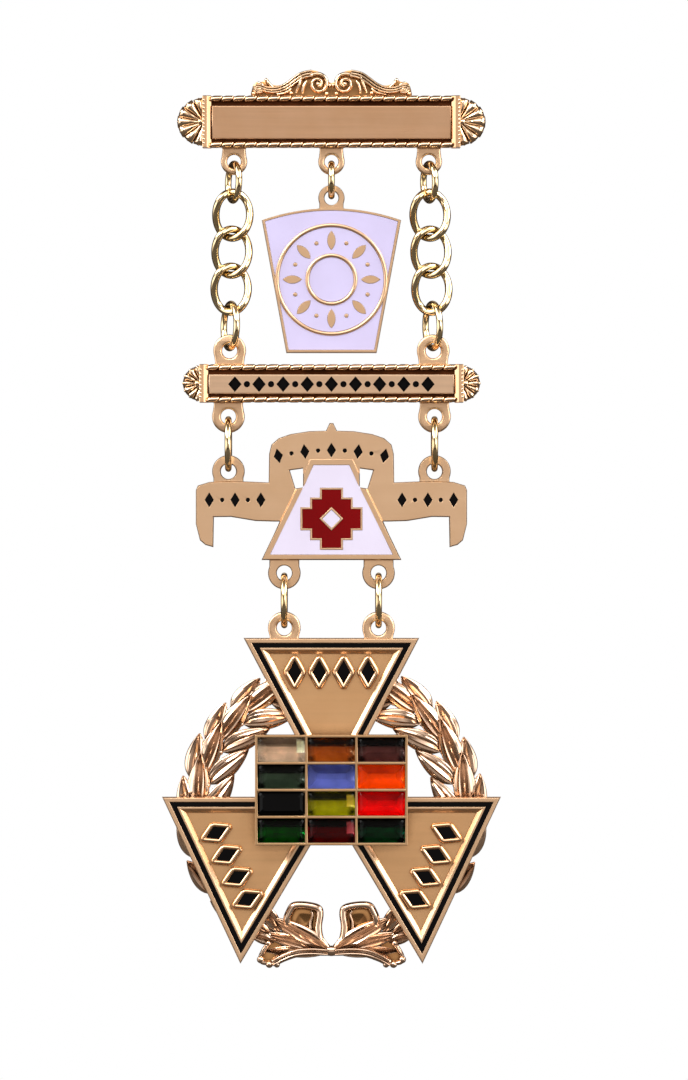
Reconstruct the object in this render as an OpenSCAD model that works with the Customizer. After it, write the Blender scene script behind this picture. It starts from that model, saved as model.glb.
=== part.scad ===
// Hanging breast jewel in gilt metal and enamel: a pin bar, a keystone drop, a lower bar
// on two chains, a ribbon plate, and a jewel of three triangles, a wreath and twelve stones.
// Millimetres. +Z is up and the front faces -Y. The origin lies on the brooch pin, behind
// the middle of the top bar. All the lugs lie in one upright plane.

/* [Top bar] */
// Length of the top bar between its end shells
top_bar_l = 41; // [38:0.5:46]
// Height of the top bar
top_bar_h = 8.3; // [7:0.1:10]
// How far an end shell reaches past the top bar
top_shell_reach = 4; // [3:0.1:5]
// Height of the scroll crest over the top bar
crest_h = 4.1; // [3:0.1:5.5]
// Width of the scroll crest
crest_w = 25.6; // [22:0.2:30]
// Distance of the side lugs from the middle of the top bar
top_lug_x = 15.5; // [14:0.1:17]

/* [Lower bar] */
// Length of the lower bar between its end shells
low_bar_l = 42; // [40:0.5:46]
// Height of the lower bar
low_bar_h = 6.1; // [5.4:0.1:7.5]
// How far an end shell reaches past the lower bar
low_shell_reach = 2.6; // [2:0.1:3.5]
// Distance of the chain lugs from the middle of the lower bar
low_lug_x = 16.2; // [15:0.1:17]
// Distance of the ribbon plate's upper lugs from the middle
drop_lug_x = 16.4; // [15.6:0.1:17]
// Number of black lozenges on the lower bar
bar_lozenges = 9; // [5:2:11]

/* [Bars] */
// Depth of both bars from back to front
bar_t = 3; // [2.4:0.1:4]
// Width of the rope edges
rope_w = 1.15; // [0.9:0.05:1.4]
// Length of one lobe of a rope edge
rope_pitch = 1.44; // [1.2:0.02:2]
// Width of the bevelled strip at each end of a bar
strip_w = 1.4; // [1:0.1:1.8]
// How far the panels lie below the rope edges
panel_sunk = 0.5; // [0.3:0.05:0.9]

/* [Brooch pin] */
// Distance from the back of the top bar to the middle of the pin
pin_stand = 2; // [1.6:0.1:3]
// Diameter of the pin
pin_d = 0.9; // [0.7:0.05:1.2]
// Length of the pin between its two feet
pin_l = 30; // [24:0.5:32]

/* [Lugs and rings] */
// Thickness of every lug
lug_t = 1; // [0.8:0.05:1.2]
// Hole in the lugs of the top bar and the keystone
small_hole_d = 2.2; // [2:0.05:2.6]
// Width of the lugs of the top bar and the keystone
small_lug_d = 4.2; // [3.8:0.1:4.8]
// Hole in the lugs of the lower bar, the ribbon plate and the jewel
large_hole_d = 2.4; // [2.2:0.05:2.8]
// Width of the lugs of the lower bar, the ribbon plate and the jewel
large_lug_d = 5.2; // [4.6:0.1:5.8]
// Wire of the jump rings
ring_wire_d = 0.9; // [0.7:0.05:1]
// Outer diameter of the keystone's jump ring
keystone_ring_d = 5.9; // [5.6:0.1:7]
// Outer diameter of the four jump rings of the drops
drop_ring_d = 8.6; // [7.6:0.1:10]
// Free space left between parts that hang in each other
hang_gap = 0.2; // [0.15:0.01:0.3]
// Free space round a piece that lies in a recess
fit_gap = 0.04; // [0.02:0.01:0.08]

/* [Chains] */
// Outer diameter of the jump ring at the top of a chain
chain_top_ring_d = 6.6; // [6.4:0.1:8]
// Outer diameter of the jump ring at the foot of a chain
chain_low_ring_d = 7.8; // [6.6:0.1:9]
// Outer length of a curb link
link_l = 8.2; // [7.8:0.1:9]
// Outer width of a curb link
link_w = 6.3; // [5.8:0.1:7]
// Wire of a curb link
link_wire_d = 1.05; // [0.9:0.05:1.15]
// How far a curb link is twisted out of its plane
link_twist = 0.76; // [0.74:0.01:0.9]
// Turn of the chains' jump rings out of the side view, in degrees
chain_ring_turn = 18; // [0:1:20]

/* [Keystone] */
// Width of the keystone at its upper corners
keystone_top_w = 22.2; // [20:0.1:23]
// Width of the keystone at its foot
keystone_foot_w = 14.4; // [12:0.1:16]
// Height of the keystone's sides
keystone_h = 21.2; // [20:0.1:23]
// Rise of the keystone's arched top
keystone_rise = 1.9; // [1.2:0.1:2.6]
// Width of the keystone's metal rim
keystone_rim = 0.45; // [0.35:0.05:0.7]
// Thickness of the keystone
keystone_t = 1.8; // [1.4:0.1:2.4]
// Radius of the keystone's outer circle line
outer_circle_r = 8.9; // [8:0.1:9.2]
// Radius of the keystone's inner circle line
inner_circle_r = 4.1; // [3.4:0.1:4.6]
// Width of the two circle lines
circle_line_w = 0.55; // [0.4:0.05:0.7]
// Number of petals between the two circles
petals = 8; // [6:1:10]

/* [Enamel] */
// Depth of the white, red and channel enamel
enamel_t = 0.5; // [0.35:0.05:0.7]
// Depth of the black lozenges and dots
inlay_t = 0.3; // [0.2:0.05:0.4]
// Width of the gilt outlines round the enamelled figures
outline_w = 0.25; // [0.2:0.05:0.35]

/* [Ribbon plate] */
// Thickness of the ribbon plate
ribbon_t = 1.2; // [1:0.1:1.6]
// Width of the arched part of the ribbon plate
arch_w = 20; // [19:0.2:22]
// Width of the ribbon plate from tail to tail
ribbon_w = 43.2; // [42:0.2:46]
// Height from the tips of the tails to the top of the arch
ribbon_h = 18.6; // [17.5:0.1:20]
// Width of the white field at its top
field_top_w = 5.7; // [5:0.1:6.5]
// Width of the white field at its foot
field_foot_w = 19.6; // [18:0.1:21]
// Height of the white field
field_h = 14.3; // [13:0.1:15]
// Height of the arch's top over the white field
arch_band = 5.48; // [5:0.01:6]
// Height of the small black lozenges on the arch and the wings
figure_h = 2.4; // [2:0.1:2.8]
// Clearance between the white field's rim and the lozenges on the arch
figure_off = 0.268; // [0.2:0.001:0.6]
// Width of the metal rim round the white field
field_rim = 0.85; // [0.6:0.05:1.1]
// How far the rim of the white field stands proud of the ribbon
field_proud = 0.35; // [0.2:0.05:0.6]
// Width and height of one step of the red figure
step_w = 1.55; // [1.3:0.05:1.6]
// Distance of the jewel's lugs from the middle
jewel_lug_x = 7.5; // [7:0.1:8.5]

/* [Triangles] */
// Width of the upper triangle
triangle_w = 28; // [26:0.2:30]
// Height of the upper triangle
triangle_h = 26.6; // [25:0.2:28]
// Thickness of the triangles
triangle_t = 1.8; // [1.4:0.1:2.4]
// Distance of the side triangles' outer corners from the middle
side_corner_x = 27; // [26:0.1:29]
// Distance of the side triangles' lower corners from the middle
side_foot_x = 14.5; // [13.5:0.1:15.5]
// How far a side triangle's inner corner reaches past the middle, under the setting
side_inner_reach = 1.3; // [0.5:0.1:2.5]
// Height of the side triangles
side_triangle_h = 26.6; // [25:0.2:28]
// How far the side triangles' top edges lie below the upper triangle's top edge
side_drop = 25.3; // [24:0.1:27]
// Width of the outer rim of each triangle
rim_w = 0.8; // [0.6:0.05:1]
// Width of the black channel inside that rim
channel_w = 0.75; // [0.6:0.05:1]
// Width of the ridge inside the channel
ridge_w = 0.3; // [0.2:0.05:0.5]
// Width of the bevel that leads down to the field
bevel_w = 0.5; // [0.3:0.05:0.8]
// How far the field of a triangle lies below its rim
field_sunk = 0.8; // [0.5:0.05:1.1]
// How far the lozenges stand above the field
lozenge_proud = 0.6; // [0.4:0.05:0.8]
// Width of a lozenge
lozenge_w = 2.9; // [2.4:0.1:3.3]
// Height of a lozenge
lozenge_h = 5; // [4:0.1:5.4]
// Distance from one lozenge to the next
lozenge_pitch = 3.9; // [3.6:0.1:4.2]

/* [Stone setting] */
// Width of the stone setting
setting_w = 24.2; // [22:0.2:26]
// Height of the stone setting
setting_h = 17.5; // [16:0.1:19]
// Depth of the stone setting
setting_t = 3.2; // [2.8:0.1:4]
// Thickness of the setting's walls
wall_w = 0.4; // [0.3:0.05:0.6]
// Distance from the top edge of the upper triangle to the setting
setting_drop = 15.3; // [14:0.1:16]
// How far the stones stand above the walls
stone_proud = 0.35; // [0.2:0.05:0.6]
// Depth of a stone below the top of the walls
stone_seat = 2; // [1.6:0.1:2.2]

/* [Wreath] */
// Radius of the wreath's middle line
wreath_r = 21.5; // [20.5:0.1:22]
// Length of a laurel leaf
leaf_l = 8.4; // [7.5:0.1:9.5]
// Width of a laurel leaf
leaf_w = 2.7; // [2.2:0.1:3.2]
// Thickness of a laurel leaf
leaf_t = 1.1; // [0.8:0.1:1.4]
// How far the outer and inner leaves of a group stand off the middle one
leaf_spread = 1.9; // [1.4:0.1:2.2]
// Thickness of the stem under the leaves
stem_t = 0.9; // [0.7:0.05:1.2]
// Number of leaf groups on each branch
leaf_groups = 12; // [9:1:13]
// Height of the bow's loops over its knot
bow_h = 7.2; // [6:0.1:8]
// Width of the bow over its two ends
bow_w = 24.6; // [22:0.2:26]
// Distance from the top edge of the upper triangle to the middle of the wreath
wreath_drop = 28; // [27:0.1:29]

/* [Hidden] */
$fn = 64;

gilt = [0.78, 0.62, 0.42];
yellow_gilt = [0.80, 0.70, 0.42];
white = [0.91, 0.88, 0.96];
black = [0.06, 0.05, 0.06];
red = [0.52, 0.02, 0.04];

// Depths, with the front at the smaller Y
bar_back = -pin_stand;
bar_front = bar_back - bar_t;
lug_y = bar_back - lug_t / 2;
keystone_back = lug_y + keystone_t / 2;
keystone_front = keystone_back - keystone_t;
ribbon_back = lug_y + ribbon_t / 2;
ribbon_front = ribbon_back - ribbon_t;
triangle_back = lug_y + triangle_t / 2;
triangle_front = triangle_back - triangle_t;
// Space between soldered layers that are pieces of their own
stack_gap = 0.05;
setting_back = triangle_front - stack_gap;
setting_front = setting_back - setting_t;
wreath_front = triangle_back + stack_gap;

// Inner radius of a jump ring, and the height of its middle over the edge of a hole
function ring_in(d) = d / 2 - ring_wire_d;
function ring_reach(d) = sqrt(pow(ring_in(d) - hang_gap, 2) - pow(lug_t / 2, 2));

// Lengths along a chain, from the middle of the upper hole
link_pitch = link_l - 2 * link_wire_d - hang_gap;
chain_ring_at = small_hole_d / 2 + ring_reach(chain_top_ring_d);
link_hook = link_l / 2 - link_wire_d - hang_gap;
link_at = chain_ring_at + ring_in(chain_top_ring_d) + link_hook;
low_ring_at = link_at + 2 * link_pitch + link_hook + ring_in(chain_low_ring_d);
chain_l = low_ring_at + ring_reach(chain_low_ring_d) + large_hole_d / 2;
chain_lean = asin((low_lug_x - top_lug_x) / chain_l);

// How far a lug hole lies off the edge of its part, as a share of the lug's width
bar_lug_off = 0.42;
keystone_lug_off = 0.375;
triangle_lug_off = 0.31;
field_lug_off = 0.56;
// How deep the foot of a lug goes into its part
lug_root = 0.4;

// Heights from the top bar down
top_lug_z = -top_bar_h / 2 - small_lug_d / 2;
keystone_ring_z = top_lug_z - small_hole_d / 2 - ring_reach(keystone_ring_d);
keystone_lug_z = keystone_ring_z - ring_reach(keystone_ring_d) - small_hole_d / 2;
keystone_apex_z = keystone_lug_z - keystone_lug_off * small_lug_d;
keystone_foot_z = keystone_apex_z - keystone_rise - keystone_h;
circle_z = keystone_apex_z - keystone_rise - 0.45 * keystone_h;
low_lug_z = top_lug_z - chain_l * cos(chain_lean);
low_bar_z = low_lug_z - bar_lug_off * large_lug_d - low_bar_h / 2;
drop_lug_z = low_bar_z - low_bar_h / 2 - bar_lug_off * large_lug_d;
drop_ring_hang = large_hole_d / 2 + ring_reach(drop_ring_d);
banner_ring_z = drop_lug_z - drop_ring_hang;
banner_lug_z = banner_ring_z - drop_ring_hang;
ribbon_foot_z = banner_lug_z - 0.65 * ribbon_h;
ribbon_top_z = ribbon_foot_z + ribbon_h;
field_top_z = ribbon_top_z - arch_band;
field_foot_z = field_top_z - field_h;
jewel_hole_z = field_foot_z - field_lug_off * large_lug_d;
jewel_ring_z = jewel_hole_z - drop_ring_hang;
jewel_lug_z = jewel_ring_z - drop_ring_hang;
triangle_z = jewel_lug_z - triangle_lug_off * large_lug_d;
side_z = triangle_z - side_drop;
setting_z = triangle_z - setting_drop - setting_h / 2;
wreath_z = triangle_z - wreath_drop;

// Named columns of the tables
X = 0;
Z = 1;

function unit(v) = v / norm(v);
function mirrored(points) = concat(
    points,
    [for (i = [len(points) - 1 : -1 : 0]) [-points[i][X], points[i][Z]]]
);
function moved(points, x, z) = [for (p = points) [p[X] + x, p[Z] + z]];

// Each edge of a convex outline moved inwards; the outline runs anticlockwise
function inset(points, d) = let (n = len(points)) [
    for (i = [0 : n - 1])
        let (
            before = unit(points[i] - points[(i + n - 1) % n]),
            after = unit(points[(i + 1) % n] - points[i]),
            in_before = [-before[1], before[0]],
            in_after = [-after[1], after[0]]
        )
        points[i] + d * (in_before + in_after) / (1 + in_before * in_after)
];

// A smooth line through the points of an open outline
function smooth(points, steps) = let (n = len(points)) concat(
    [for (i = [0 : n - 2]) for (k = [0 : steps - 1])
        let (
            a = points[max(i - 1, 0)],
            b = points[i],
            c = points[i + 1],
            d = points[min(i + 2, n - 1)],
            t = k / steps
        )
        0.5 * (2 * b + (c - a) * t + (2 * a - 5 * b + 4 * c - d) * t * t
            + (3 * b - a - 3 * c + d) * t * t * t)],
    [points[n - 1]]
);

// Skin through sections that have the same number of points, each anticlockwise
// round the way from the first section to the last
module skin(sections, closed = false) {
    n = len(sections[0]);
    m = len(sections);
    points = [for (section = sections) for (p = section) p];
    walls = [for (i = [0 : m - (closed ? 1 : 2)]) for (j = [0 : n - 1])
        let (up = (i + 1) % m, side = (j + 1) % n)
        [i * n + j, up * n + j, up * n + side, i * n + side]];
    ends = closed ? [] : [
        [for (j = [0 : n - 1]) j],
        [for (j = [n - 1 : -1 : 0]) (m - 1) * n + j]
    ];
    polyhedron(points, concat(walls, ends));
}

// A flat plate with its outline in the upright plane
module slab(front, back) {
    translate([0, back, 0]) rotate([90, 0, 0]) linear_extrude(back - front) children();
}

// Skin between outlines that each lie at their own depth, from back to front
module relief(outlines, depths) {
    skin([for (i = [0 : len(outlines) - 1]) [for (p = outlines[i]) [p[X], depths[i], p[Z]]]]);
}

module lug_body(x, z, lug_d, root_z) {
    translate([x, lug_y, z]) rotate([90, 0, 0]) cylinder(d = lug_d, h = lug_t, center = true);
    translate([x - 0.46 * lug_d, lug_y - lug_t / 2, min(z, root_z)])
        cube([0.92 * lug_d, lug_t, abs(root_z - z)]);
}

module lug_bore(x, z, hole_d) {
    translate([x, lug_y, z]) rotate([90, 0, 0]) cylinder(d = hole_d, h = 2 * lug_t, center = true);
}

module jump_ring(x, z, outer_d, turn = 0) {
    translate([x, lug_y, z]) rotate([0, 0, turn]) rotate([0, 90, 0])
        rotate_extrude() translate([(outer_d - ring_wire_d) / 2, 0]) circle(d = ring_wire_d, $fn = 32);
}

// A lozenge, made smaller by the given distance along all four edges
module lozenge(x, z, w, h, shrink = 0) {
    part = 1 - 2 * shrink * norm([w, h]) / (w * h);
    translate([x, z]) scale(part) polygon([[w / 2, 0], [0, h / 2], [-w / 2, 0], [0, -h / 2]]);
}

// A rope edge along X: slanted lobes between two heights, standing on a flat back
module rope(length, low, high, back, front) {
    lobes = round(length / rope_pitch);
    step = length / lobes / 2;
    slant = 0.35 * rope_pitch;
    groove = 0.22 * rope_w;
    skin([for (i = [0 : 2 * lobes])
        let (
            x = -length / 2 + i * step,
            dip = groove * (1 - i % 2),
            mid = (low + high) / 2
        )
        [for (p = [
            [back, low], [back, high - dip], [front + 0.35 * rope_w + dip, high - dip],
            [front + dip, mid], [front + 0.35 * rope_w + dip, low]
        ]) [x + slant * (p[1] - mid) / (high - low), p[0], p[1]]]
    ]);
}

// A fan of ribs on the end of a bar, towards +X
module shell(x, reach, height, back, front) {
    ribs = 7;
    hub = 0.12;
    middle = 0.6;
    valley = 0.22 * (back - front);
    translate([x, 0, 0]) skin([for (i = [0 : 2 * ribs])
        let (
            a = 90 - 180 * i / (2 * ribs),
            dip = (i % 2 == 0) ? 1 : 0,
            rim = 1 - 0.05 * dip
        )
        [for (p = [
            [hub, back], [rim, back], [rim, front + 0.55 * (back - front) + dip * valley / 2],
            [middle, front + dip * valley], [hub, front + 0.3 * valley]
        ]) [reach * p[0] * cos(a), p[1], height / 2 * p[0] * sin(a)]]
    ]);
}

// A bead of round wire along points in the upright plane, at one depth
module bead(points, depth, start_r, end_r) {
    n = len(points);
    sides = 6;
    skin([for (i = [0 : n - 1])
        let (
            dir = unit(points[min(i + 1, n - 1)] - points[max(i - 1, 0)]),
            r = start_r + (end_r - start_r) * i / (n - 1)
        )
        [for (k = [0 : sides - 1])
            let (a = 360 * k / sides)
            [
                points[i][X] - r * sin(a) * dir[1],
                depth + r * cos(a),
                points[i][Z] + r * sin(a) * dir[0]
            ]]
    ]);
}

// Crest outline of the right half, as shares of half the crest's width and of its height
CREST_EDGE = [
    [0, 0.62], [0.08, 0.76], [0.2, 1], [0.32, 0.96], [0.42, 0.76], [0.5, 0.52], [0.58, 0.38], [0.68, 0.36],
    [0.74, 0.52], [0.79, 0.74], [0.86, 0.64], [0.94, 0.52], [1, 0.12]
];
// S-curve of the crest's right half, in the same shares
CREST_SCROLL = [
    [0.24, 0.9], [0.34, 0.74], [0.44, 0.46], [0.55, 0.24], [0.68, 0.2], [0.8, 0.32],
    [0.86, 0.46], [0.81, 0.56], [0.76, 0.46]
];

module crest(z) {
    base = bar_back - 0.3;
    face = bar_back - 0.45 * bar_t;
    edge = smooth([for (p = CREST_EDGE) [p[X] * crest_w / 2, z + p[Z] * crest_h]], 3);
    foot = [[crest_w / 2, z - 0.5 * rope_w], [0, z - 0.5 * rope_w]];
    scroll = smooth([for (p = CREST_SCROLL) [p[X] * crest_w / 2, z + p[Z] * crest_h]], 2);
    volute_r = 0.42 * crest_h;
    volute = [for (i = [0 : 15])
        let (a = 60 + 34 * i, r = volute_r * (1 - 0.05 * i))
        [0.145 * crest_w / 2 + r * cos(a), z + 0.48 * crest_h + r * sin(a)]];
    slab(face, base) {
        polygon(concat(edge, foot));
        mirror([1, 0]) polygon(concat(edge, foot));
    }
    for (side = [0, 1]) mirror([side, 0, 0]) {
        bead(scroll, face, 0.4, 0.24);
        bead(volute, face, 0.4, 0.26);
    }
}

// Frame of a bar: a block with a sunk panel, two rope edges and an end shell at each side
module bar_frame(length, height, z, reach) {
    panel_h = height - 2 * rope_w;
    panel_l = length - 2 * strip_w;
    rope_back = bar_front + 1.4 * panel_sunk;
    translate([0, 0, z]) {
        difference() {
            translate([-length / 2, bar_front, -height / 2 + 0.1 * rope_w])
                cube([length, bar_t, height - 0.2 * rope_w]);
            translate([-panel_l / 2, bar_front - 1, -height / 2])
                cube([panel_l, 1 + panel_sunk, height]);
        }
        rope(panel_l + 0.4, panel_h / 2 + 0.1, height / 2, rope_back, bar_front);
        rope(panel_l + 0.4, -height / 2, -panel_h / 2 - 0.1, rope_back, bar_front);
        for (side = [0, 1]) mirror([side, 0, 0])
            shell(length / 2 - 0.4, reach + 0.4, 0.94 * height, bar_back, bar_front + 0.3);
    }
}

module top_bar() {
    color(gilt) difference() {
        union() {
            bar_frame(top_bar_l, top_bar_h, 0, top_shell_reach);
            crest(top_bar_h / 2);
            for (x = [-top_lug_x, 0, top_lug_x]) lug_body(x, top_lug_z, small_lug_d, -top_bar_h / 2 + 1);
        }
        for (x = [-top_lug_x, 0, top_lug_x]) lug_bore(x, top_lug_z, small_hole_d);
    }
}

// The hidden pin: a wire between two feet that stand on the back of the top bar
module brooch_pin() {
    foot_w = 2.4;
    color(gilt) {
        rotate([0, 90, 0]) cylinder(d = pin_d, h = pin_l + foot_w, center = true);
        for (x = [-pin_l / 2, pin_l / 2])
            translate([x - foot_w / 2, bar_back + 0.1, -foot_w / 2])
                cube([foot_w, pin_stand - 0.1 + 0.7 * pin_d, foot_w]);
    }
}

// Where one piece of a chain hangs: down the line between the two lug holes
module on_chain(side, length) {
    translate([side * top_lug_x, lug_y, top_lug_z]) rotate([0, -side * chain_lean, 0])
        translate([0, 0, -length]) children();
}

module chain_ring_top(side) {
    color(yellow_gilt) on_chain(side, chain_ring_at) translate([0, -lug_y, 0])
        jump_ring(0, 0, chain_top_ring_d, chain_ring_turn);
}

module chain_ring_low(side) {
    color(yellow_gilt) on_chain(side, low_ring_at) translate([0, -lug_y, 0])
        jump_ring(0, 0, chain_low_ring_d, chain_ring_turn);
}

function link_point(a) = [
    (link_w - link_wire_d) / 2 * cos(a), link_twist * sin(2 * a), (link_l - link_wire_d) / 2 * sin(a)
];
function link_way(a) = unit([
    -(link_w - link_wire_d) / 2 * sin(a), 2 * link_twist * cos(2 * a), (link_l - link_wire_d) / 2 * cos(a)
]);

// One curb link, counted from the top of the chain
module curb_link(side, count) {
    segments = 16;
    sides = 6;
    color(yellow_gilt) on_chain(side, link_at + (count - 1) * link_pitch) skin([
        for (i = [0 : segments - 1])
            let (
                a = 360 * i / segments,
                p = link_point(a),
                dir = link_way(a),
                out = unit(p - (p * dir) * dir),
                up = cross(dir, out)
            )
            [for (k = [0 : sides - 1])
                let (b = 360 * k / sides)
                p + link_wire_d / 2 * (cos(b) * out + sin(b) * up)]
    ], closed = true);
}

// Black lozenges and dots along the lower bar's panel
module bar_ornament(shrink = 0) {
    row_l = 0.73 * low_bar_l;
    pitch = row_l / (bar_lozenges - 1);
    panel_h = low_bar_h - 2 * rope_w;
    for (i = [0 : bar_lozenges - 1])
        lozenge((i - (bar_lozenges - 1) / 2) * pitch, low_bar_z, 0.6 * pitch, 0.76 * panel_h, shrink);
    for (i = [0 : bar_lozenges - 2])
        translate([(i + 0.5 - (bar_lozenges - 1) / 2) * pitch, low_bar_z])
            circle(d = 0.24 * pitch - 2 * shrink, $fn = 32);
}

module lower_bar() {
    panel_front = bar_front + panel_sunk;
    color(gilt) difference() {
        union() {
            bar_frame(low_bar_l, low_bar_h, low_bar_z, low_shell_reach);
            for (x = [-low_lug_x, low_lug_x]) lug_body(x, low_lug_z, large_lug_d, low_bar_z);
            for (x = [-drop_lug_x, drop_lug_x]) lug_body(x, drop_lug_z, large_lug_d, low_bar_z);
        }
        for (x = [-low_lug_x, low_lug_x]) lug_bore(x, low_lug_z, large_hole_d);
        for (x = [-drop_lug_x, drop_lug_x]) lug_bore(x, drop_lug_z, large_hole_d);
        slab(panel_front - 1, panel_front + inlay_t) bar_ornament();
    }
}

module lower_bar_enamel() {
    panel_front = bar_front + panel_sunk;
    color(black) slab(panel_front + 0.02, panel_front + inlay_t - fit_gap) bar_ornament(fit_gap);
}

// Outline of the keystone, smaller by the given distance all round
module keystone_outline(d) {
    arch_r = (pow(keystone_top_w / 2, 2) + pow(keystone_rise, 2)) / (2 * keystone_rise);
    shoulder = keystone_h + keystone_rise;
    flare = (keystone_top_w - keystone_foot_w) / 2 / keystone_h;
    intersection() {
        polygon(moved(inset([
            [-keystone_foot_w / 2, 0], [keystone_foot_w / 2, 0],
            [keystone_foot_w / 2 + flare * shoulder, shoulder],
            [-keystone_foot_w / 2 - flare * shoulder, shoulder]
        ], d), 0, keystone_foot_z));
        translate([0, keystone_apex_z - arch_r]) circle(r = arch_r - d, $fn = 160);
    }
}

module circle_line(r, grow) {
    difference() {
        circle(r = r + grow, $fn = 120);
        circle(r = r - circle_line_w - grow, $fn = 120);
    }
}

// What stands up through the white enamel: two circle lines, and a ring of petals and dots
module keystone_lines(grow) {
    petal_l = 0.62 * (outer_circle_r - inner_circle_r);
    petal_w = 0.42 * petal_l;
    petal_r = (petal_l * petal_l + petal_w * petal_w) / (4 * petal_w);
    middle_r = (outer_circle_r - circle_line_w + inner_circle_r) / 2;
    translate([0, circle_z]) {
        circle_line(outer_circle_r, grow);
        circle_line(inner_circle_r, grow);
        for (i = [0 : petals - 1]) rotate(360 * i / petals) {
            translate([0, middle_r]) intersection() {
                translate([petal_w / 2 - petal_r, 0]) circle(r = petal_r + grow, $fn = 64);
                translate([petal_r - petal_w / 2, 0]) circle(r = petal_r + grow, $fn = 64);
            }
            rotate(180 / petals) translate([0, middle_r]) circle(r = 0.3 + grow, $fn = 24);
        }
    }
}

module keystone_ring() {
    color(yellow_gilt) jump_ring(0, keystone_ring_z, keystone_ring_d);
}

module keystone_plate() {
    color(gilt) difference() {
        union() {
            slab(keystone_front + enamel_t, keystone_back) keystone_outline(0);
            slab(keystone_front, keystone_back - 0.2) difference() {
                keystone_outline(0);
                keystone_outline(keystone_rim);
            }
            slab(keystone_front, keystone_back - 0.2) keystone_lines(0);
            lug_body(0, keystone_lug_z, small_lug_d, keystone_apex_z - 0.9 * keystone_rim);
        }
        lug_bore(0, keystone_lug_z, small_hole_d);
    }
}

module keystone_enamel() {
    color(white) slab(keystone_front + 0.06, keystone_front + enamel_t - fit_gap) difference() {
        keystone_outline(keystone_rim + fit_gap);
        keystone_lines(fit_gap);
    }
}

// Right half of the ribbon plate over the tails: the arch as shares of half its width, the
// wing and tail as shares of half the ribbon's width, and both as shares of the height
ARCH_EDGE = [[0, 1], [0.35, 0.995], [0.65, 0.97], [0.84, 0.935], [0.957, 0.88], [0.993, 0.8], [1, 0.556]];
WING_EDGE = [
    [0.6, 0.563], [0.78, 0.567], [0.9, 0.56], [0.985, 0.53], [1, 0.49], [1, 0.2], [0.97, 0.06],
    [0.93, 0.02], [0.87, 0], [0.866, 0.258], [0.74, 0.26], [0.56, 0.225], [0.42, 0.22]
];
// Right half of the small point on top of the arch, from its tip to its foot in the arch, as
// shares of the ribbon's height over the arch's top
POINT_EDGE = [[0.016, 0.0645], [0.054, -0.016]];

// The white field's outline, anticlockwise
white_field = [
    [-field_foot_w / 2, field_foot_z], [field_foot_w / 2, field_foot_z],
    [field_top_w / 2, field_top_z], [-field_top_w / 2, field_top_z]
];

module ribbon_outline() {
    arch = [for (p = ARCH_EDGE) [p[X] * arch_w / 2, ribbon_foot_z + p[Z] * ribbon_h]];
    wing = [for (p = WING_EDGE) [p[X] * ribbon_w / 2, ribbon_foot_z + p[Z] * ribbon_h]];
    point = [for (p = POINT_EDGE) [p[X] * ribbon_h, ribbon_top_z + p[Z] * ribbon_h]];
    polygon(mirrored(concat(arch, wing)));
    polygon(mirrored(point));
}

// Stepped lozenge of the red figure, with a lozenge-shaped opening
module red_outline(grow) {
    middle = field_foot_z + 0.4 * field_h;
    translate([0, middle]) difference() {
        union() {
            square([6 * step_w + 2 * grow, 2 * step_w + 2 * grow], center = true);
            square([4 * step_w + 2 * grow, 4 * step_w + 2 * grow], center = true);
            square([2 * step_w + 2 * grow, 6 * step_w + 2 * grow], center = true);
        }
        lozenge(0, 0, 2.4 * step_w, 2.4 * step_w, grow);
    }
}

// Small black lozenges and dots along the arch and on both wings
module ribbon_figure(count, shrink) {
    if (abs(count) % 2 == 1) circle(d = 0.29 * figure_h - 2 * shrink, $fn = 24);
    else lozenge(0, 0, 0.62 * figure_h, figure_h, shrink);
}

module ribbon_ornament(shrink) {
    arch_r = 2 * arch_w;
    arch_z = field_top_z + field_rim + figure_off + figure_h / 2 - arch_r;
    arch_step = 3.05;
    wing_start = 0.52;
    wing_step = 0.095;
    for (i = [-4 : 4])
        translate([arch_r * sin(arch_step * i), arch_z + arch_r * cos(arch_step * i)]) rotate(-arch_step * i)
            ribbon_figure(i, shrink);
    for (side = [-1, 1]) for (i = [0 : 4])
        translate([side * ribbon_w / 2 * (wing_start + wing_step * i), ribbon_foot_z + 0.405 * ribbon_h])
            ribbon_figure(i, shrink);
}

module banner_ring(side) {
    color(yellow_gilt) jump_ring(side * drop_lug_x, banner_ring_z, drop_ring_d);
}

// The small window beside the white field, as shares of the ribbon's height: across from the
// field's top corner, and up from three quarters of the field's height
WINDOW = [[0.089, 0], [0.154, -0.011], [0.202, 0.145], [0.089, 0.161]];

module banner_plate() {
    field_front = ribbon_front - field_proud;
    window_x = field_top_w / 2;
    window_z = field_foot_z + 0.75 * field_h;
    color(gilt) difference() {
        union() {
            difference() {
                slab(ribbon_front, ribbon_back) ribbon_outline();
                slab(ribbon_front - 1, ribbon_front + inlay_t) ribbon_ornament(0);
            }
            slab(field_front, ribbon_back) polygon(inset(white_field, -field_rim));
            for (x = [-drop_lug_x, drop_lug_x])
                lug_body(x, banner_lug_z, large_lug_d, ribbon_foot_z + 0.5 * ribbon_h);
            for (x = [-jewel_lug_x, jewel_lug_x])
                lug_body(x, jewel_hole_z, large_lug_d, field_foot_z - field_rim + lug_root);
        }
        slab(field_front - 1, field_front + enamel_t) difference() {
            polygon(white_field);
            difference() {
                red_outline(outline_w);
                red_outline(0);
            }
        }
        for (x = [-drop_lug_x, drop_lug_x]) lug_bore(x, banner_lug_z, large_hole_d);
        for (x = [-jewel_lug_x, jewel_lug_x]) lug_bore(x, jewel_hole_z, large_hole_d);
        for (side = [0, 1]) mirror([side, 0, 0]) slab(ribbon_front - 1, ribbon_back + 1)
            polygon(moved([for (p = WINDOW) p * ribbon_h], window_x, window_z));
    }
}

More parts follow.
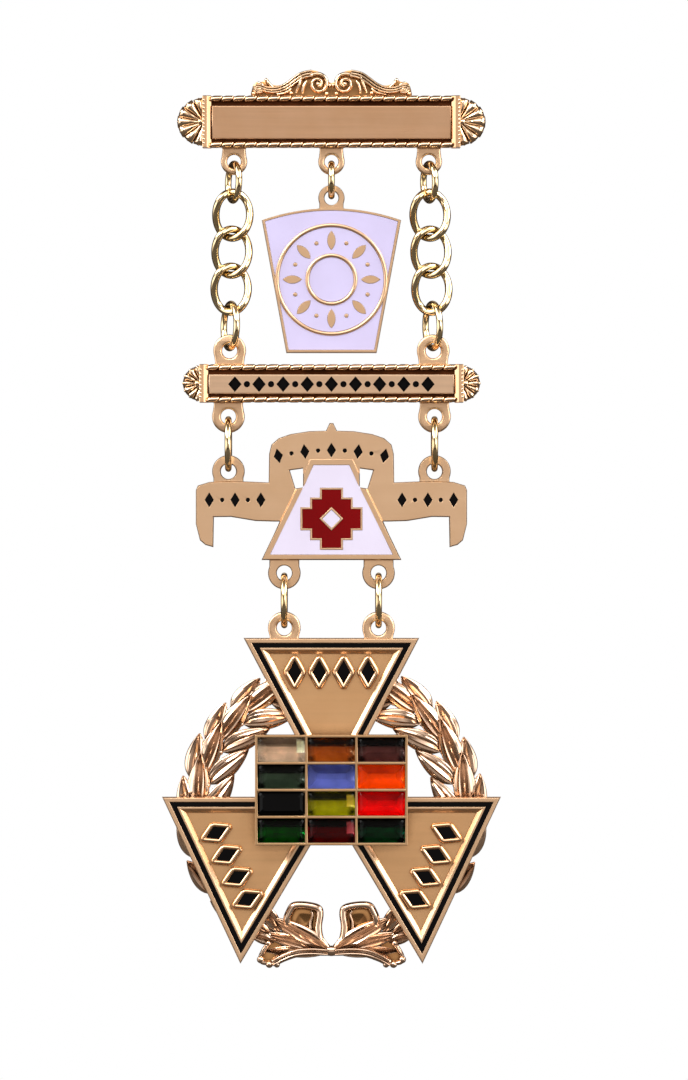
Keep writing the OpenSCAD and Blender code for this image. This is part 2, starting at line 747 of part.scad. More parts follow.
module banner_white_enamel() {
    front = ribbon_front - field_proud;
    color(white) slab(front + 0.06, front + enamel_t - fit_gap) difference() {
        polygon(inset(white_field, fit_gap));
        red_outline(outline_w + fit_gap);
    }
}

module banner_red_enamel() {
    front = ribbon_front - field_proud;
    color(red) slab(front + 0.04, front + enamel_t - fit_gap) red_outline(-fit_gap);
}

module banner_black_enamel() {
    color(black) slab(ribbon_front + 0.02, ribbon_front + inlay_t - fit_gap) ribbon_ornament(fit_gap);
}

module jewel_ring(side) {
    color(yellow_gilt) jump_ring(side * jewel_lug_x, jewel_ring_z, drop_ring_d);
}

// Outlines of the three triangles, anticlockwise, the edge with the ornament first
top_triangle = [
    [triangle_w / 2, triangle_z], [-triangle_w / 2, triangle_z], [0, triangle_z - triangle_h]
];
function side_triangle(side) = side > 0 ? [
    [side_foot_x, side_z - side_triangle_h], [side_corner_x, side_z], [-side_inner_reach, side_z]
] : [
    [-side_corner_x, side_z], [-side_foot_x, side_z - side_triangle_h], [side_inner_reach, side_z]
];

// Where the setting stands, with a margin
module setting_foot(margin) {
    translate([0, setting_z]) square([setting_w - 2 * margin, setting_h - 2 * margin], center = true);
}

field_edge = rim_w + channel_w + ridge_w;

// Black channel of one triangle, ending under the setting
module channel(triangle, shrink) {
    difference() {
        polygon(inset(triangle, rim_w + shrink));
        polygon(inset(triangle, rim_w + channel_w - shrink));
        setting_foot(0.4 - shrink);
    }
}

// Four lozenges in a row along a triangle's first edge
module field_ornament(triangle, d) {
    start = triangle[0];
    way = unit(triangle[1] - start);
    in = [-way[1], way[0]];
    middle = (start + triangle[1]) / 2 + in * (field_edge + bevel_w + 0.62 * lozenge_h);
    for (i = [-1.5 : 1 : 1.5])
        translate(middle + way * i * lozenge_pitch) rotate(atan2(way[1], way[0]))
            lozenge(0, 0, lozenge_w, lozenge_h, d);
}

triangles = [top_triangle, side_triangle(-1), side_triangle(1)];

module triangle_plate() {
    color(gilt) difference() {
        union() {
            difference() {
                union() {
                    slab(triangle_front, triangle_back) {
                        for (t = triangles) polygon(t);
                        setting_foot(0.4);
                    }
                    for (x = [-jewel_lug_x, jewel_lug_x])
                        lug_body(x, jewel_lug_z, large_lug_d, triangle_z - lug_root);
                }
                for (t = triangles) {
                    difference() {
                        relief([inset(t, field_edge + bevel_w), inset(t, field_edge)],
                            [triangle_front + field_sunk, triangle_front - 0.001]);
                        slab(triangle_front - 1, triangle_back) setting_foot(0.4);
                    }
                    slab(triangle_front - 1, triangle_front + enamel_t) channel(t, 0);
                }
            }
            for (t = triangles)
                slab(triangle_front + field_sunk - lozenge_proud, triangle_front + field_sunk + 0.2)
                    field_ornament(t, 0);
        }
        for (x = [-jewel_lug_x, jewel_lug_x]) lug_bore(x, jewel_lug_z, large_hole_d);
        for (t = triangles)
            slab(triangle_front - 1, triangle_front + field_sunk - lozenge_proud + inlay_t)
                field_ornament(t, outline_w);
    }
}

// Black enamel of one triangle: its channel and its four lozenges
module triangle_enamel(t) {
    lozenge_front = triangle_front + field_sunk - lozenge_proud;
    color(black) {
        slab(triangle_front + 0.05, triangle_front + enamel_t - fit_gap) channel(t, fit_gap);
        slab(lozenge_front + 0.03, lozenge_front + inlay_t - fit_gap) field_ornament(t, outline_w + fit_gap);
    }
}

// One laurel leaf: a pointed outline that rises to a ridge, from its foot along its way
module leaf(x, z, turn, length, width, back, thick) {
    translate([x, back, z]) rotate([0, turn, 0]) hull() {
        rotate([90, 0, 0]) linear_extrude(0.35 * thick) polygon([
            [0, 0], [0.4 * width, 0.22 * length], [0.5 * width, 0.45 * length], [0.3 * width, 0.78 * length],
            [0, length],
            [-0.3 * width, 0.78 * length], [-0.5 * width, 0.45 * length], [-0.4 * width, 0.22 * length]
        ]);
        translate([0, -thick, 0.15 * length]) cube([0.02, 0.02, 0.6 * length]);
    }
}

// The wreath: two branches of leaves in threes on a stem, and a bow where they are tied
module wreath() {
    stem_back = wreath_front + leaf_t + stem_t;
    leaf_back = wreath_front + leaf_t + 0.3 * stem_t;
    first_a = 24;
    last_a = 168;
    splay = 12;
    foot_size = 0.66;
    color(gilt) {
        translate([0, 0, wreath_z]) {
            translate([0, stem_back, 0]) rotate([90, 0, 0]) difference() {
                cylinder(r = wreath_r + 0.7 * leaf_spread, h = stem_t, $fn = 96);
                translate([0, 0, -1]) cylinder(r = wreath_r - 0.7 * leaf_spread, h = stem_t + 2, $fn = 96);
            }
            for (side = [-1, 1]) for (i = [0 : leaf_groups - 1]) for (fan = [-1, 0, 1]) {
                a = first_a + (last_a - first_a) * i / leaf_groups;
                grow = min(1, foot_size + (a - first_a) / 120);
                r = wreath_r + leaf_spread * grow * fan;
                lift = (fan == 0) ? leaf_t - 0.01 : 0.75 * leaf_t;
                leaf(side * r * sin(a), -r * cos(a), side * (90 - a + splay * fan), leaf_l * grow,
                    leaf_w * grow, leaf_back, leaf_back - wreath_front - leaf_t + lift);
            }
        }
        bow();
    }
}

// Right half of the bow, as shares of half its width and of its height over the knot:
// the outline of its loop, the hollow in it, and the tips of its pleats
BOW_LOOP = [
    [0.03, -0.05], [0.09, 0.16], [0.12, 0.88], [0.19, 1], [0.45, 0.98], [0.56, 0.85], [0.57, 0.55],
    [0.5, 0.25], [0.2, -0.05]
];
BOW_HOLLOW = [
    [0.19, 0.34], [0.2, 0.8], [0.24, 0.87], [0.42, 0.86], [0.48, 0.77], [0.49, 0.55], [0.4, 0.34]
];
BOW_TIPS = [[0.95, -0.3], [0.92, -0.04], [0.85, 0.24], [0.76, 0.5]];

// The bow: two squarish upright loops with a raised edge, a knot, and pleats to each side
module bow() {
    knot_z = wreath_z - wreath_r - 0.3;
    back = wreath_front + leaf_t + stem_t;
    knot_d = 2.8;
    pleat_t = 1;
    pleat_w = 1.9;
    loop = [for (p = BOW_LOOP) [p[X] * bow_w / 2, knot_z + p[Z] * bow_h]];
    hollow = [for (p = BOW_HOLLOW) [p[X] * bow_w / 2, knot_z + p[Z] * bow_h]];
    for (side = [0, 1]) mirror([side, 0, 0]) {
        difference() {
            slab(wreath_front + 0.3, back - 0.05) polygon(loop);
            slab(wreath_front, wreath_front + 0.8 * leaf_t) polygon(hollow);
        }
        for (i = [0 : len(BOW_TIPS) - 1]) hull() {
            translate([0.3 * knot_d, back - 0.3 - 0.04 * i, knot_z]) rotate([90, 0, 0])
                cylinder(d = 0.4 * knot_d, h = pleat_t, $fn = 8);
            translate([BOW_TIPS[i][X] * bow_w / 2, back - 0.3 - 0.04 * i, knot_z + BOW_TIPS[i][Z] * bow_h])
                rotate([90, 0, 0]) cylinder(d1 = pleat_w, d2 = 0.4 * pleat_w, h = pleat_t, $fn = 8);
        }
    }
    hull() {
        translate([0, back - 0.02, knot_z]) rotate([90, 0, 0]) cylinder(d = knot_d, h = 1, $fn = 12);
        translate([0, wreath_front + 0.4, knot_z]) rotate([90, 0, 0])
            cylinder(d = 0.6 * knot_d, h = 0.3, $fn = 12);
    }
}

columns = 3;
rows = 4;
cell_w = (setting_w - wall_w) / columns - wall_w;
cell_h = (setting_h - wall_w) / rows - wall_w;
function cell_x(count) = (((count - 1) % columns) - (columns - 1) / 2) * (cell_w + wall_w);
function cell_z(count) = setting_z + ((rows - 1) / 2 - floor((count - 1) / columns)) * (cell_h + wall_w);

module stone_setting() {
    seat = setting_front + stone_seat + 0.1;
    color(gilt) difference() {
        slab(setting_front, setting_back) setting_foot(0);
        for (count = [1 : columns * rows]) {
            translate([cell_x(count) - cell_w / 2, setting_front - 1, cell_z(count) - cell_h / 2])
                cube([cell_w, seat - setting_front + 1, cell_h]);
        }
    }
}

// Rectangle with cut corners, anticlockwise
function cut_corners(w, h, cut) = [
    [w / 2, -h / 2 + cut], [w / 2, h / 2 - cut], [w / 2 - cut, h / 2], [-w / 2 + cut, h / 2],
    [-w / 2, h / 2 - cut], [-w / 2, -h / 2 + cut], [-w / 2 + cut, -h / 2], [w / 2 - cut, -h / 2]
];

// Step-cut stone: how much each level is smaller than the girdle all round, and its depth
// as a share of the height over the girdle, or below it where negative
STONE_LEVELS = [[1.45, -1], [0.75, -0.55], [0, -0.08], [0, 0.08], [0.35, 0.62], [0.75, 1]];
INSET = 0;
HEIGHT = 1;

module stone(count, tint) {
    w = cell_w - 0.1;
    h = cell_h - 0.1;
    girdle = setting_front + 0.35;
    over = girdle - (setting_front - stone_proud);
    under = setting_front + stone_seat - girdle;
    color(tint) relief(
        [for (level = STONE_LEVELS)
            moved(cut_corners(w - 2 * level[INSET], h - 2 * level[INSET], 0.3),
                cell_x(count), cell_z(count))],
        [for (level = STONE_LEVELS) girdle - level[HEIGHT] * (level[HEIGHT] > 0 ? over : under)]
    );
}

top_bar();
brooch_pin();
chain_ring_top(-1);  // left_chain_ring_top
curb_link(-1, 1);  // left_link_1
curb_link(-1, 2);  // left_link_2
curb_link(-1, 3);  // left_link_3
chain_ring_low(-1);  // left_chain_ring_low
chain_ring_top(1);  // right_chain_ring_top
curb_link(1, 1);  // right_link_1
curb_link(1, 2);  // right_link_2
curb_link(1, 3);  // right_link_3
chain_ring_low(1);  // right_chain_ring_low
lower_bar();
lower_bar_enamel();
keystone_ring();
keystone_plate();
keystone_enamel();
banner_ring(-1);  // banner_ring_left
banner_ring(1);  // banner_ring_right
banner_plate();
banner_white_enamel();
banner_red_enamel();
banner_black_enamel();
jewel_ring(-1);  // jewel_ring_left
jewel_ring(1);  // jewel_ring_right
triangle_plate();
triangle_enamel(top_triangle);  // top_triangle_enamel
triangle_enamel(side_triangle(-1));  // left_triangle_enamel
triangle_enamel(side_triangle(1));  // right_triangle_enamel
wreath();
stone_setting();
stone(1, [0.84, 0.72, 0.62]);  // stone_1
stone(2, [0.6, 0.26, 0.04]);  // stone_2
stone(3, [0.33, 0.14, 0.14]);  // stone_3
stone(4, [0.15, 0.2, 0.15]);  // stone_4
stone(5, [0.3, 0.35, 0.68]);  // stone_5
stone(6, [1, 0.3, 0.02]);  // stone_6
stone(7, [0.02, 0.02, 0.02]);  // stone_7
stone(8, [0.5, 0.5, 0.08]);  // stone_8
stone(9, [0.92, 0.05, 0.05]);  // stone_9
stone(10, [0.01, 0.28, 0.06]);  // stone_10
stone(11, [0.3, 0.01, 0.05]);  // stone_11
stone(12, [0.01, 0.2, 0.12]);  // stone_12
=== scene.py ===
"""Looks of the hanging breast jewel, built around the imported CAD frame.

Sizes are in millimetres until a mesh is made. The front faces -Y and +Z is up.
"""
import sys
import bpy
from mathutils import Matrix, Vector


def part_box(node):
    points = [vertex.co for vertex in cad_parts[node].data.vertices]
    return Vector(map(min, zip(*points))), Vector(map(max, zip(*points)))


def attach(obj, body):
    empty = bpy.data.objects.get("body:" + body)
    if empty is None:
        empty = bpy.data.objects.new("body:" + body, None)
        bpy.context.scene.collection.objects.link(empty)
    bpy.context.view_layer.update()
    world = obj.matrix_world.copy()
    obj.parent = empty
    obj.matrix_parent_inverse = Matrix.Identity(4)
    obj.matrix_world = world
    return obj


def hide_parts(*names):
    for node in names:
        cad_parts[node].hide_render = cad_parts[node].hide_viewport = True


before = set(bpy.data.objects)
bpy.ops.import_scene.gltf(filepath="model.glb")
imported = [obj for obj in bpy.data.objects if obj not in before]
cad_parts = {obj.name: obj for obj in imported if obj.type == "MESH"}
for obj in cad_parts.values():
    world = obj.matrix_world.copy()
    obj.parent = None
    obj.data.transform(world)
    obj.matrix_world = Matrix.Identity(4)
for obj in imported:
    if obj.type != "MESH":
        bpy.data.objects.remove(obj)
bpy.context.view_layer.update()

import logging
import math
from dataclasses import dataclass, field
from enum import Enum
from functools import cache, cached_property
from typing import Callable, Optional, Sequence

import bmesh
import bpy
from bmesh.types import BMesh, BMVert
from bpy.types import ID, Material, Mesh, Node, NodeSocket, NodeTree, Object
from mathutils import Euler, Matrix, Vector

MM = 0.001
LOG = logging.getLogger("jewel")
Point = Sequence[float]
Outline = list[tuple[float, float]]

SIDES = (-1, 1)
TO_FRONT = Vector((0.0, -1.0, 0.0))
# Edges of a CAD copy that bend less than this many degrees stay as they are, and a rounded edge has
# this many faces across
SOFT_FROM, SOFT_STEPS = 35.0, 2
# Sides of a plate that are lower than this, in millimetres, stay upright
DRAFT_FROM = 0.9
# Depths of a lug's front and back and the radius of its rounded edges, in millimetres
LUG_FRONT, LUG_BACK, LUG_EDGE = -3.0, -2.0, 0.3


class Body(Enum):
    """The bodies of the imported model."""

    HANGER = "hanger"
    KEYSTONE = "keystone"
    BANNER = "banner"
    JEWEL = "jewel"


# Meshes


def middle(node: str) -> Vector:
    """Middle of a CAD node's box, in millimetres."""
    low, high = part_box(node)
    return (low + high) / 2 / MM


def linked(name: str, data: ID) -> Object:
    """Makes an object and links it to the scene.

    Args:
        name: The object's name.
        data: Its mesh, curve, light or camera.

    Returns:
        The new object.
    """
    obj = bpy.data.objects.new(name, data)
    bpy.context.scene.collection.objects.link(obj)
    return obj


def plain_mesh(obj: Object) -> Mesh:
    """The mesh that an object shows, with its modifiers or its curve's shape."""
    graph = bpy.context.evaluated_depsgraph_get()
    return bpy.data.meshes.new_from_object(obj.evaluated_get(graph), depsgraph=graph)


def from_mesh(name: str, mesh: Mesh, sharp: float = 40.0, even: bool = False) -> Object:
    """Links a mesh as an object at the origin, shaded smooth up to an angle.

    Args:
        name: The object's name.
        mesh: The mesh, in metres.
        sharp: Edges that bend more than this many degrees stay sharp.
        even: Whether flat faces keep their shading flat up to a rounded edge.

    Returns:
        The new object.
    """
    mesh.name = name
    mesh.shade_smooth()
    mesh.set_sharp_from_angle(angle=math.radians(sharp))
    obj = linked(name, mesh)
    if even:
        modifier = obj.modifiers.new("even", "WEIGHTED_NORMAL")
        modifier.weight, modifier.keep_sharp = 100, True
        obj.data = plain_mesh(obj)
        obj.data.name = name
        obj.modifiers.clear()
    return obj


def from_bmesh(name: str, bm: BMesh, sharp: float = 40.0, even: bool = False, unit: float = MM) -> Object:
    """Makes an object of closed skins, with their faces outwards, shaded smooth up to an angle.

    Args:
        name: The object's name.
        bm: The mesh, which is freed.
        sharp: Edges that bend more than this many degrees stay sharp.
        even: Whether flat faces keep their shading flat up to a rounded edge.
        unit: The mesh's unit of length, in metres.

    Returns:
        The new object at the origin, in metres.
    """
    bmesh.ops.recalc_face_normals(bm, faces=bm.faces)
    bmesh.ops.scale(bm, vec=(unit, unit, unit), verts=bm.verts)
    mesh = bpy.data.meshes.new(name)
    bm.to_mesh(mesh)
    bm.free()
    return from_mesh(name, mesh, sharp, even)


def add_ball(bm: BMesh, radius: float, at: Point = (0.0, 0.0, 0.0), fineness: int = 2) -> None:
    """Adds a ball of a radius at a place, rounder with a higher fineness."""
    bmesh.ops.create_icosphere(bm, subdivisions=fineness, radius=radius, matrix=Matrix.Translation(at))


def add_loft(bm: BMesh, rings: Sequence[Sequence[Point]], closed: bool = False) -> None:
    """Adds a skin through rings of points, with caps unless the way is closed.

    Args:
        bm: The mesh that takes the skin.
        rings: Rings with the same number of points each.
        closed: Whether the last ring joins the first.
    """
    verts = [[bm.verts.new(p) for p in ring] for ring in rings]
    count = len(verts[0])
    for i in range(len(verts) - (0 if closed else 1)):
        here, there = verts[i], verts[(i + 1) % len(verts)]
        for j in range(count):
            k = (j + 1) % count
            bm.faces.new((here[j], here[k], there[k], there[j]))
    if not closed:
        bm.faces.new(verts[0][::-1])
        bm.faces.new(verts[-1])


def catmull(points: Sequence[Point], steps: int, closed: bool = False) -> list[Vector]:
    """A smooth line through points.

    Args:
        points: The points that the line passes.
        steps: Points from one to the next.
        closed: Whether the line comes back to its start.

    Returns:
        The points of the finer line.
    """
    way = [Vector(p) for p in points]
    n = len(way)
    line = []
    for i in range(n if closed else n - 1):
        a, b, c, d = (way[(i + k) % n] if closed else way[min(max(i + k, 0), n - 1)] for k in (-1, 0, 1, 2))
        for step in range(steps):
            t = step / steps
            line.append(0.5 * (2 * b + (c - a) * t + (2 * a - 5 * b + 4 * c - d) * t * t
                               + (3 * b - a - 3 * c + d) * t ** 3))
    return line if closed else line + [way[-1]]


def inset(outline: Outline, distance: float) -> Outline:
    """Moves each edge of an outline inwards.

    Args:
        outline: The anticlockwise convex outline.
        distance: How far its edges move.

    Returns:
        The smaller outline.
    """
    moved = []
    for i, point in enumerate(outline):
        here = Vector(point)
        before = (here - Vector(outline[i - 1])).normalized()
        after = (Vector(outline[(i + 1) % len(outline)]) - here).normalized()
        left, right = Vector((-before.y, before.x)), Vector((-after.y, after.x))
        shift = (left + right) * distance / (1 + left.dot(right))
        moved.append(tuple(here + shift))
    return moved


def add_terraces(bm: BMesh, outline: Outline, levels: Sequence[tuple[float, float]]) -> None:
    """Adds a solid of nested outlines, from the back rim over the front to the middle.

    Args:
        bm: The mesh that takes the solid.
        outline: The anticlockwise outline, in X and Z.
        levels: How far each ring lies inside the outline, and its depth Y.
    """
    rings = [[(x, depth, z) for x, z in inset(outline, off)] for off, depth in levels]
    add_loft(bm, rings)


def draft(bm: BMesh, amount: float) -> None:
    """Leans the outer sides of a plate inwards to its front, as a die leaves them.

    Args:
        bm: The plate's mesh, in metres.
        amount: How far the front edge moves inwards, in millimetres.
    """
    bm.normal_update()
    leans: dict[BMVert, list[Vector]] = {}
    for face in bm.faces:
        low = min(v.co.y for v in face.verts)
        if abs(face.normal.y) > 0.2 or max(v.co.y for v in face.verts) - low < DRAFT_FROM * MM:
            continue
        for vert in face.verts:
            if vert.co.y - low < 1e-6 and any(f.normal.y < -0.9 for f in vert.link_faces):
                known = leans.setdefault(vert, [])
                if all(face.normal.dot(n) < 0.9999 for n in known):
                    known.append(face.normal.copy())
    for vert, normals in leans.items():
        lean = sum(normals, Vector()).normalized()
        vert.co -= lean * amount * MM / max(0.4, lean.dot(normals[0]))


def softened(node: str, name: str, width: float, lean: float = 0.0) -> Object:
    """A copy of a CAD node with its sharp edges rounded.

    Args:
        node: The CAD node that is copied.
        name: The new piece's name.
        width: How much of each edge is rounded off, in millimetres.
        lean: How far its outer sides lean inwards to the front, in millimetres.

    Returns:
        The new piece.
    """
    bm = bmesh.new()
    bm.from_mesh(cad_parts[node].data)
    bmesh.ops.remove_doubles(bm, verts=bm.verts, dist=1e-6)
    bmesh.ops.dissolve_limit(bm, angle_limit=math.radians(0.5), verts=bm.verts, edges=bm.edges)
    if lean:
        draft(bm, lean)
    edges = [e for e in bm.edges if len(e.link_faces) == 2 and e.calc_face_angle(0) > math.radians(SOFT_FROM)]
    bmesh.ops.bevel(bm, geom=edges, offset=width * MM, segments=SOFT_STEPS, profile=0.6,
                    affect="EDGES", clamp_overlap=True)
    return from_bmesh(name, bm, sharp=50, even=True, unit=1.0)


def flat_plate(name: str, loops: Sequence[Outline], front: float, back: float, edge: float) -> Object:
    """A plate with rounded edges, which may have holes.

    Args:
        name: The new piece's name.
        loops: Its outlines in X and Z: the outer ones and the holes.
        front: Depth of its front.
        back: Depth of its back.
        edge: Radius of its rounded edges.

    Returns:
        The plate.
    """
    curve = bpy.data.curves.new(name, "CURVE")
    curve.dimensions, curve.fill_mode = "2D", "BOTH"
    curve.extrude, curve.bevel_depth, curve.bevel_resolution = (back - front) / 2 - edge, edge, 2
    curve.offset = -edge
    for loop in loops:
        spline = curve.splines.new("POLY")
        spline.points.add(len(loop) - 1)
        spline.points.foreach_set("co", [c for x, z in loop for c in (x, z, 0.0, 1.0)])
        spline.use_cyclic_u = True
    carrier = linked(name + "_line", curve)
    mesh = plain_mesh(carrier)
    bpy.data.objects.remove(carrier)
    mesh.transform(Matrix.Translation((0, (front + back) / 2 * MM, 0)) @ Matrix.Rotation(math.pi / 2, 4, "X")
                   @ Matrix.Scale(MM, 4))
    bm = bmesh.new()
    bm.from_mesh(mesh)
    bmesh.ops.remove_doubles(bm, verts=bm.verts, dist=1e-7)
    return from_bmesh(name, bm, even=True, unit=1.0)


# Node trees


class Wires:
    """Adds nodes to a tree and wires them."""

    def __init__(self, tree: NodeTree) -> None:
        """Takes the tree that gets the nodes."""
        self.tree = tree

    def feed(self, node: Node, inputs: dict) -> Node:
        """Links or sets a node's inputs.

        Args:
            node: The node.
            inputs: Sockets to link or values to set, by input name or number.

        Returns:
            The same node.
        """
        for key, value in inputs.items():
            if isinstance(value, NodeSocket):
                self.tree.links.new(value, node.inputs[key])
            else:
                node.inputs[key].default_value = value
        return node

    def node(self, kind: str, inputs: Optional[dict] = None, **options: object) -> Node:
        """Adds a node.

        Args:
            kind: The node's type.
            inputs: Sockets to link or values to set, by input name or number.
            **options: The node's own options.

        Returns:
            The new node.
        """
        node = self.tree.nodes.new(kind)
        for option, value in options.items():
            setattr(node, option, value)
        return self.feed(node, inputs or {})

    def __call__(self, kind: str, inputs: Optional[dict] = None, **options: object) -> Node:
        """Adds a shader node, whose type is given without its first part."""
        return self.node("ShaderNode" + kind, inputs, **options)

    def calc(self, operation: str, *values: object) -> NodeSocket:
        """Result of a Math node on one to three values."""
        return self("Math", dict(enumerate(values)), operation=operation).outputs[0]

    def noise(self, scale: float, stretch: Point = (1.0, 1.0, 1.0), detail: float = 3.0) -> NodeSocket:
        """Noise on the object's own coordinates, stretched along its axes."""
        place = self("Mapping", {"Vector": self("TexCoord").outputs["Object"], "Scale": stretch})
        return self("TexNoise", {"Vector": place.outputs[0], "Scale": scale, "Detail": detail}).outputs["Fac"]

    def spread(self, value: object, low: float, high: object, to_low: float, to_high: float) -> NodeSocket:
        """Maps a value from one range to another, clamped."""
        return self("MapRange", {"Value": value, "From Min": low, "From Max": high,
                                 "To Min": to_low, "To Max": to_high}).outputs[0]

    def mix(self, share: object, first: object, second: object, blend: str = "MIX") -> NodeSocket:
        """Mixes two colours."""
        return self("Mix", {0: share, 6: first, 7: second}, data_type="RGBA", blend_type=blend).outputs[2]

    def clouded(self, noise: NodeSocket, first: object, second: object, low: float = 0.3,
                high: float = 0.7) -> NodeSocket:
        """Mixes two colours by a noise, from its low to its high."""
        return self.mix(self.spread(noise, low, high, 0.0, 1.0), first, second)


# Geometry Nodes


class Tree(Wires):
    """A Geometry Nodes tree with named inputs that ends in real, dressed geometry."""

    def __init__(self, name: str) -> None:
        """Starts an empty tree with one geometry input and one geometry output.

        Args:
            name: The tree's name.
        """
        super().__init__(bpy.data.node_groups.new(name, "GeometryNodeTree"))
        for way in ("INPUT", "OUTPUT"):
            self.tree.interface.new_socket("Geometry", in_out=way, socket_type="NodeSocketGeometry")
        self.entry = self.node("NodeGroupInput")
        self.exit = self.node("NodeGroupOutput")
        self.names: dict[str, str] = {}

    def size(self, name: str, kind: str = "NodeSocketFloat") -> NodeSocket:
        """Adds a named input and returns the socket that carries it."""
        self.names[name] = self.tree.interface.new_socket(name, in_out="INPUT", socket_type=kind).identifier
        return self.entry.outputs[name]

    def circle(self, points: int, radius: object) -> NodeSocket:
        """A circle of that many points."""
        return self.node("GeometryNodeCurvePrimitiveCircle", {"Resolution": points, "Radius": radius}).outputs[0]

    def tube(self, way: NodeSocket, wire: NodeSocket) -> NodeSocket:
        """Round wire of a radius along a line."""
        return self.node("GeometryNodeCurveToMesh", {"Curve": way, "Profile Curve": self.circle(16, wire)}).outputs[0]

    def finish(self, geometry: NodeSocket, material: Material) -> "Tree":
        """Ends the tree in Realize Instances and Set Material.

        Args:
            geometry: What the tree has made.
            material: What it is made of.

        Returns:
            The same tree.
        """
        real = self.node("GeometryNodeRealizeInstances", {"Geometry": geometry})
        dressed = self.node("GeometryNodeSetMaterial", {"Geometry": real.outputs[0], "Material": material})
        self.feed(self.exit, {0: dressed.outputs[0]})
        return self

    def make(self, name: str, base: Mesh, sharp: float = 40.0, **sizes: object) -> Object:
        """Runs the tree on a mesh and keeps the result as a plain mesh.

        Args:
            name: The new piece's name.
            base: The mesh that the tree starts from.
            sharp: Edges that bend more than this many degrees stay sharp.
            **sizes: Values of the named inputs, with spaces written as underscores.

        Returns:
            The new piece, without a modifier.
        """
        carrier = linked(name + "_carrier", base)
        modifier = carrier.modifiers.new("shape", "NODES")
        modifier.node_group = self.tree
        for key, value in sizes.items():
            modifier[self.names[key.replace("_", " ")]] = value
        mesh = plain_mesh(carrier)
        carrier.modifiers.remove(modifier)
        bpy.data.objects.remove(carrier)
        return from_mesh(name, mesh, sharp)


def ring_tree(material: Material) -> Tree:
    """Tree of a jump ring, a circle of wire about the X axis.

    Args:
        material: What the ring is made of.

    Returns:
        The tree, with the inputs Radius and Wire.
    """
    tree = Tree("jump ring")
    radius, wire = tree.size("Radius"), tree.size("Wire")
    tube = tree.tube(tree.circle(72, radius), wire)
    turned = tree.node("GeometryNodeTransform", {"Geometry": tube, "Rotation": Euler((0, math.pi / 2, 0))})
    return tree.finish(turned.outputs[0], material)


def link_tree(material: Material) -> Tree:
    """Tree of a curb link, an oval of wire that is twisted out of its plane by a rule.

    Args:
        material: What the link is made of.

    Returns:
        The tree, with the inputs Half width, Half length, Twist and Wire.
    """
    tree = Tree("curb link")
    half_w, half_l, twist, wire = (tree.size(n) for n in ("Half width", "Half length", "Twist", "Wire"))
    place = tree.node("GeometryNodeInputPosition")
    x, z, _ = tree("SeparateXYZ", {0: place.outputs[0]}).outputs
    out_of_plane = tree.calc("MULTIPLY", tree.calc("MULTIPLY", x, z), 2.0)
    bent = tree("CombineXYZ", {"X": tree.calc("MULTIPLY", x, half_w), "Y": tree.calc("MULTIPLY", out_of_plane, twist),
                               "Z": tree.calc("MULTIPLY", z, half_l)})
    moved = tree.node("GeometryNodeSetPosition", {"Geometry": tree.circle(96, 1.0), "Position": bent.outputs[0]})
    return tree.finish(tree.tube(moved.outputs[0], wire), material)


def repeat_tree(name: str, material: Material) -> Tree:
    """Tree that sets copies of one part on points, each with its turn, its size and a small chance difference.

    Args:
        name: The tree's name.
        material: What the copies are made of.

    Returns:
        The tree, with the inputs Part, Unevenness and Seed.
    """
    tree = Tree(name)
    part = tree.size("Part", "NodeSocketObject")
    uneven, seed = tree.size("Unevenness"), tree.size("Seed", "NodeSocketInt")
    info = tree.node("GeometryNodeObjectInfo", {"Object": part, "As Instance": True})
    turn, grow = (tree.node("GeometryNodeInputNamedAttribute", {"Name": label}, data_type="FLOAT_VECTOR").outputs[0]
                  for label in ("turn", "grow"))
    chance = tree.node("FunctionNodeRandomValue", {
        "Min": tree.calc("SUBTRACT", 1.0, uneven), "Max": tree.calc("ADD", 1.0, uneven), "Seed": seed},
        data_type="FLOAT")
    scale = tree("VectorMath", {0: grow, "Scale": chance.outputs[1]}, operation="SCALE")
    copies = tree.node("GeometryNodeInstanceOnPoints", {
        "Points": tree.entry.outputs["Geometry"], "Instance": info.outputs["Geometry"],
        "Rotation": turn, "Scale": scale.outputs[0]})
    return tree.finish(copies.outputs[0], material)


@dataclass
class Seat:
    """Where one copy of a repeated part stands."""

    at: Point
    turn: Point = (0.0, 0.0, 0.0)
    grow: Point = (1.0, 1.0, 1.0)


def repeated(name: str, part: Object, seats: Sequence[Seat], material: Material,
             uneven: float = 0.0, seed: int = 1, sharp: float = 40.0) -> Object:
    """Sets copies of a part on seats, as one plain mesh.

    Args:
        name: The new piece's name.
        part: The part to repeat, which is removed afterwards.
        seats: Where the copies stand, in millimetres and radians.
        material: What the copies are made of.
        uneven: Share by which a copy's size may differ.
        seed: Seed of the differences.
        sharp: Edges that bend more than this many degrees stay sharp.

    Returns:
        The new piece.
    """
    base = bpy.data.meshes.new(name + "_seats")
    base.from_pydata([Vector(s.at) * MM for s in seats], [], [])
    for label in ("turn", "grow"):
        layer = base.attributes.new(label, "FLOAT_VECTOR", "POINT")
        layer.data.foreach_set("vector", [c for seat in seats for c in getattr(seat, label)])
    tree = repeat_tree(name + " copies", material)
    piece = tree.make(name, base, sharp, Part=part, Unevenness=uneven, Seed=seed)
    bpy.data.objects.remove(part)
    return piece


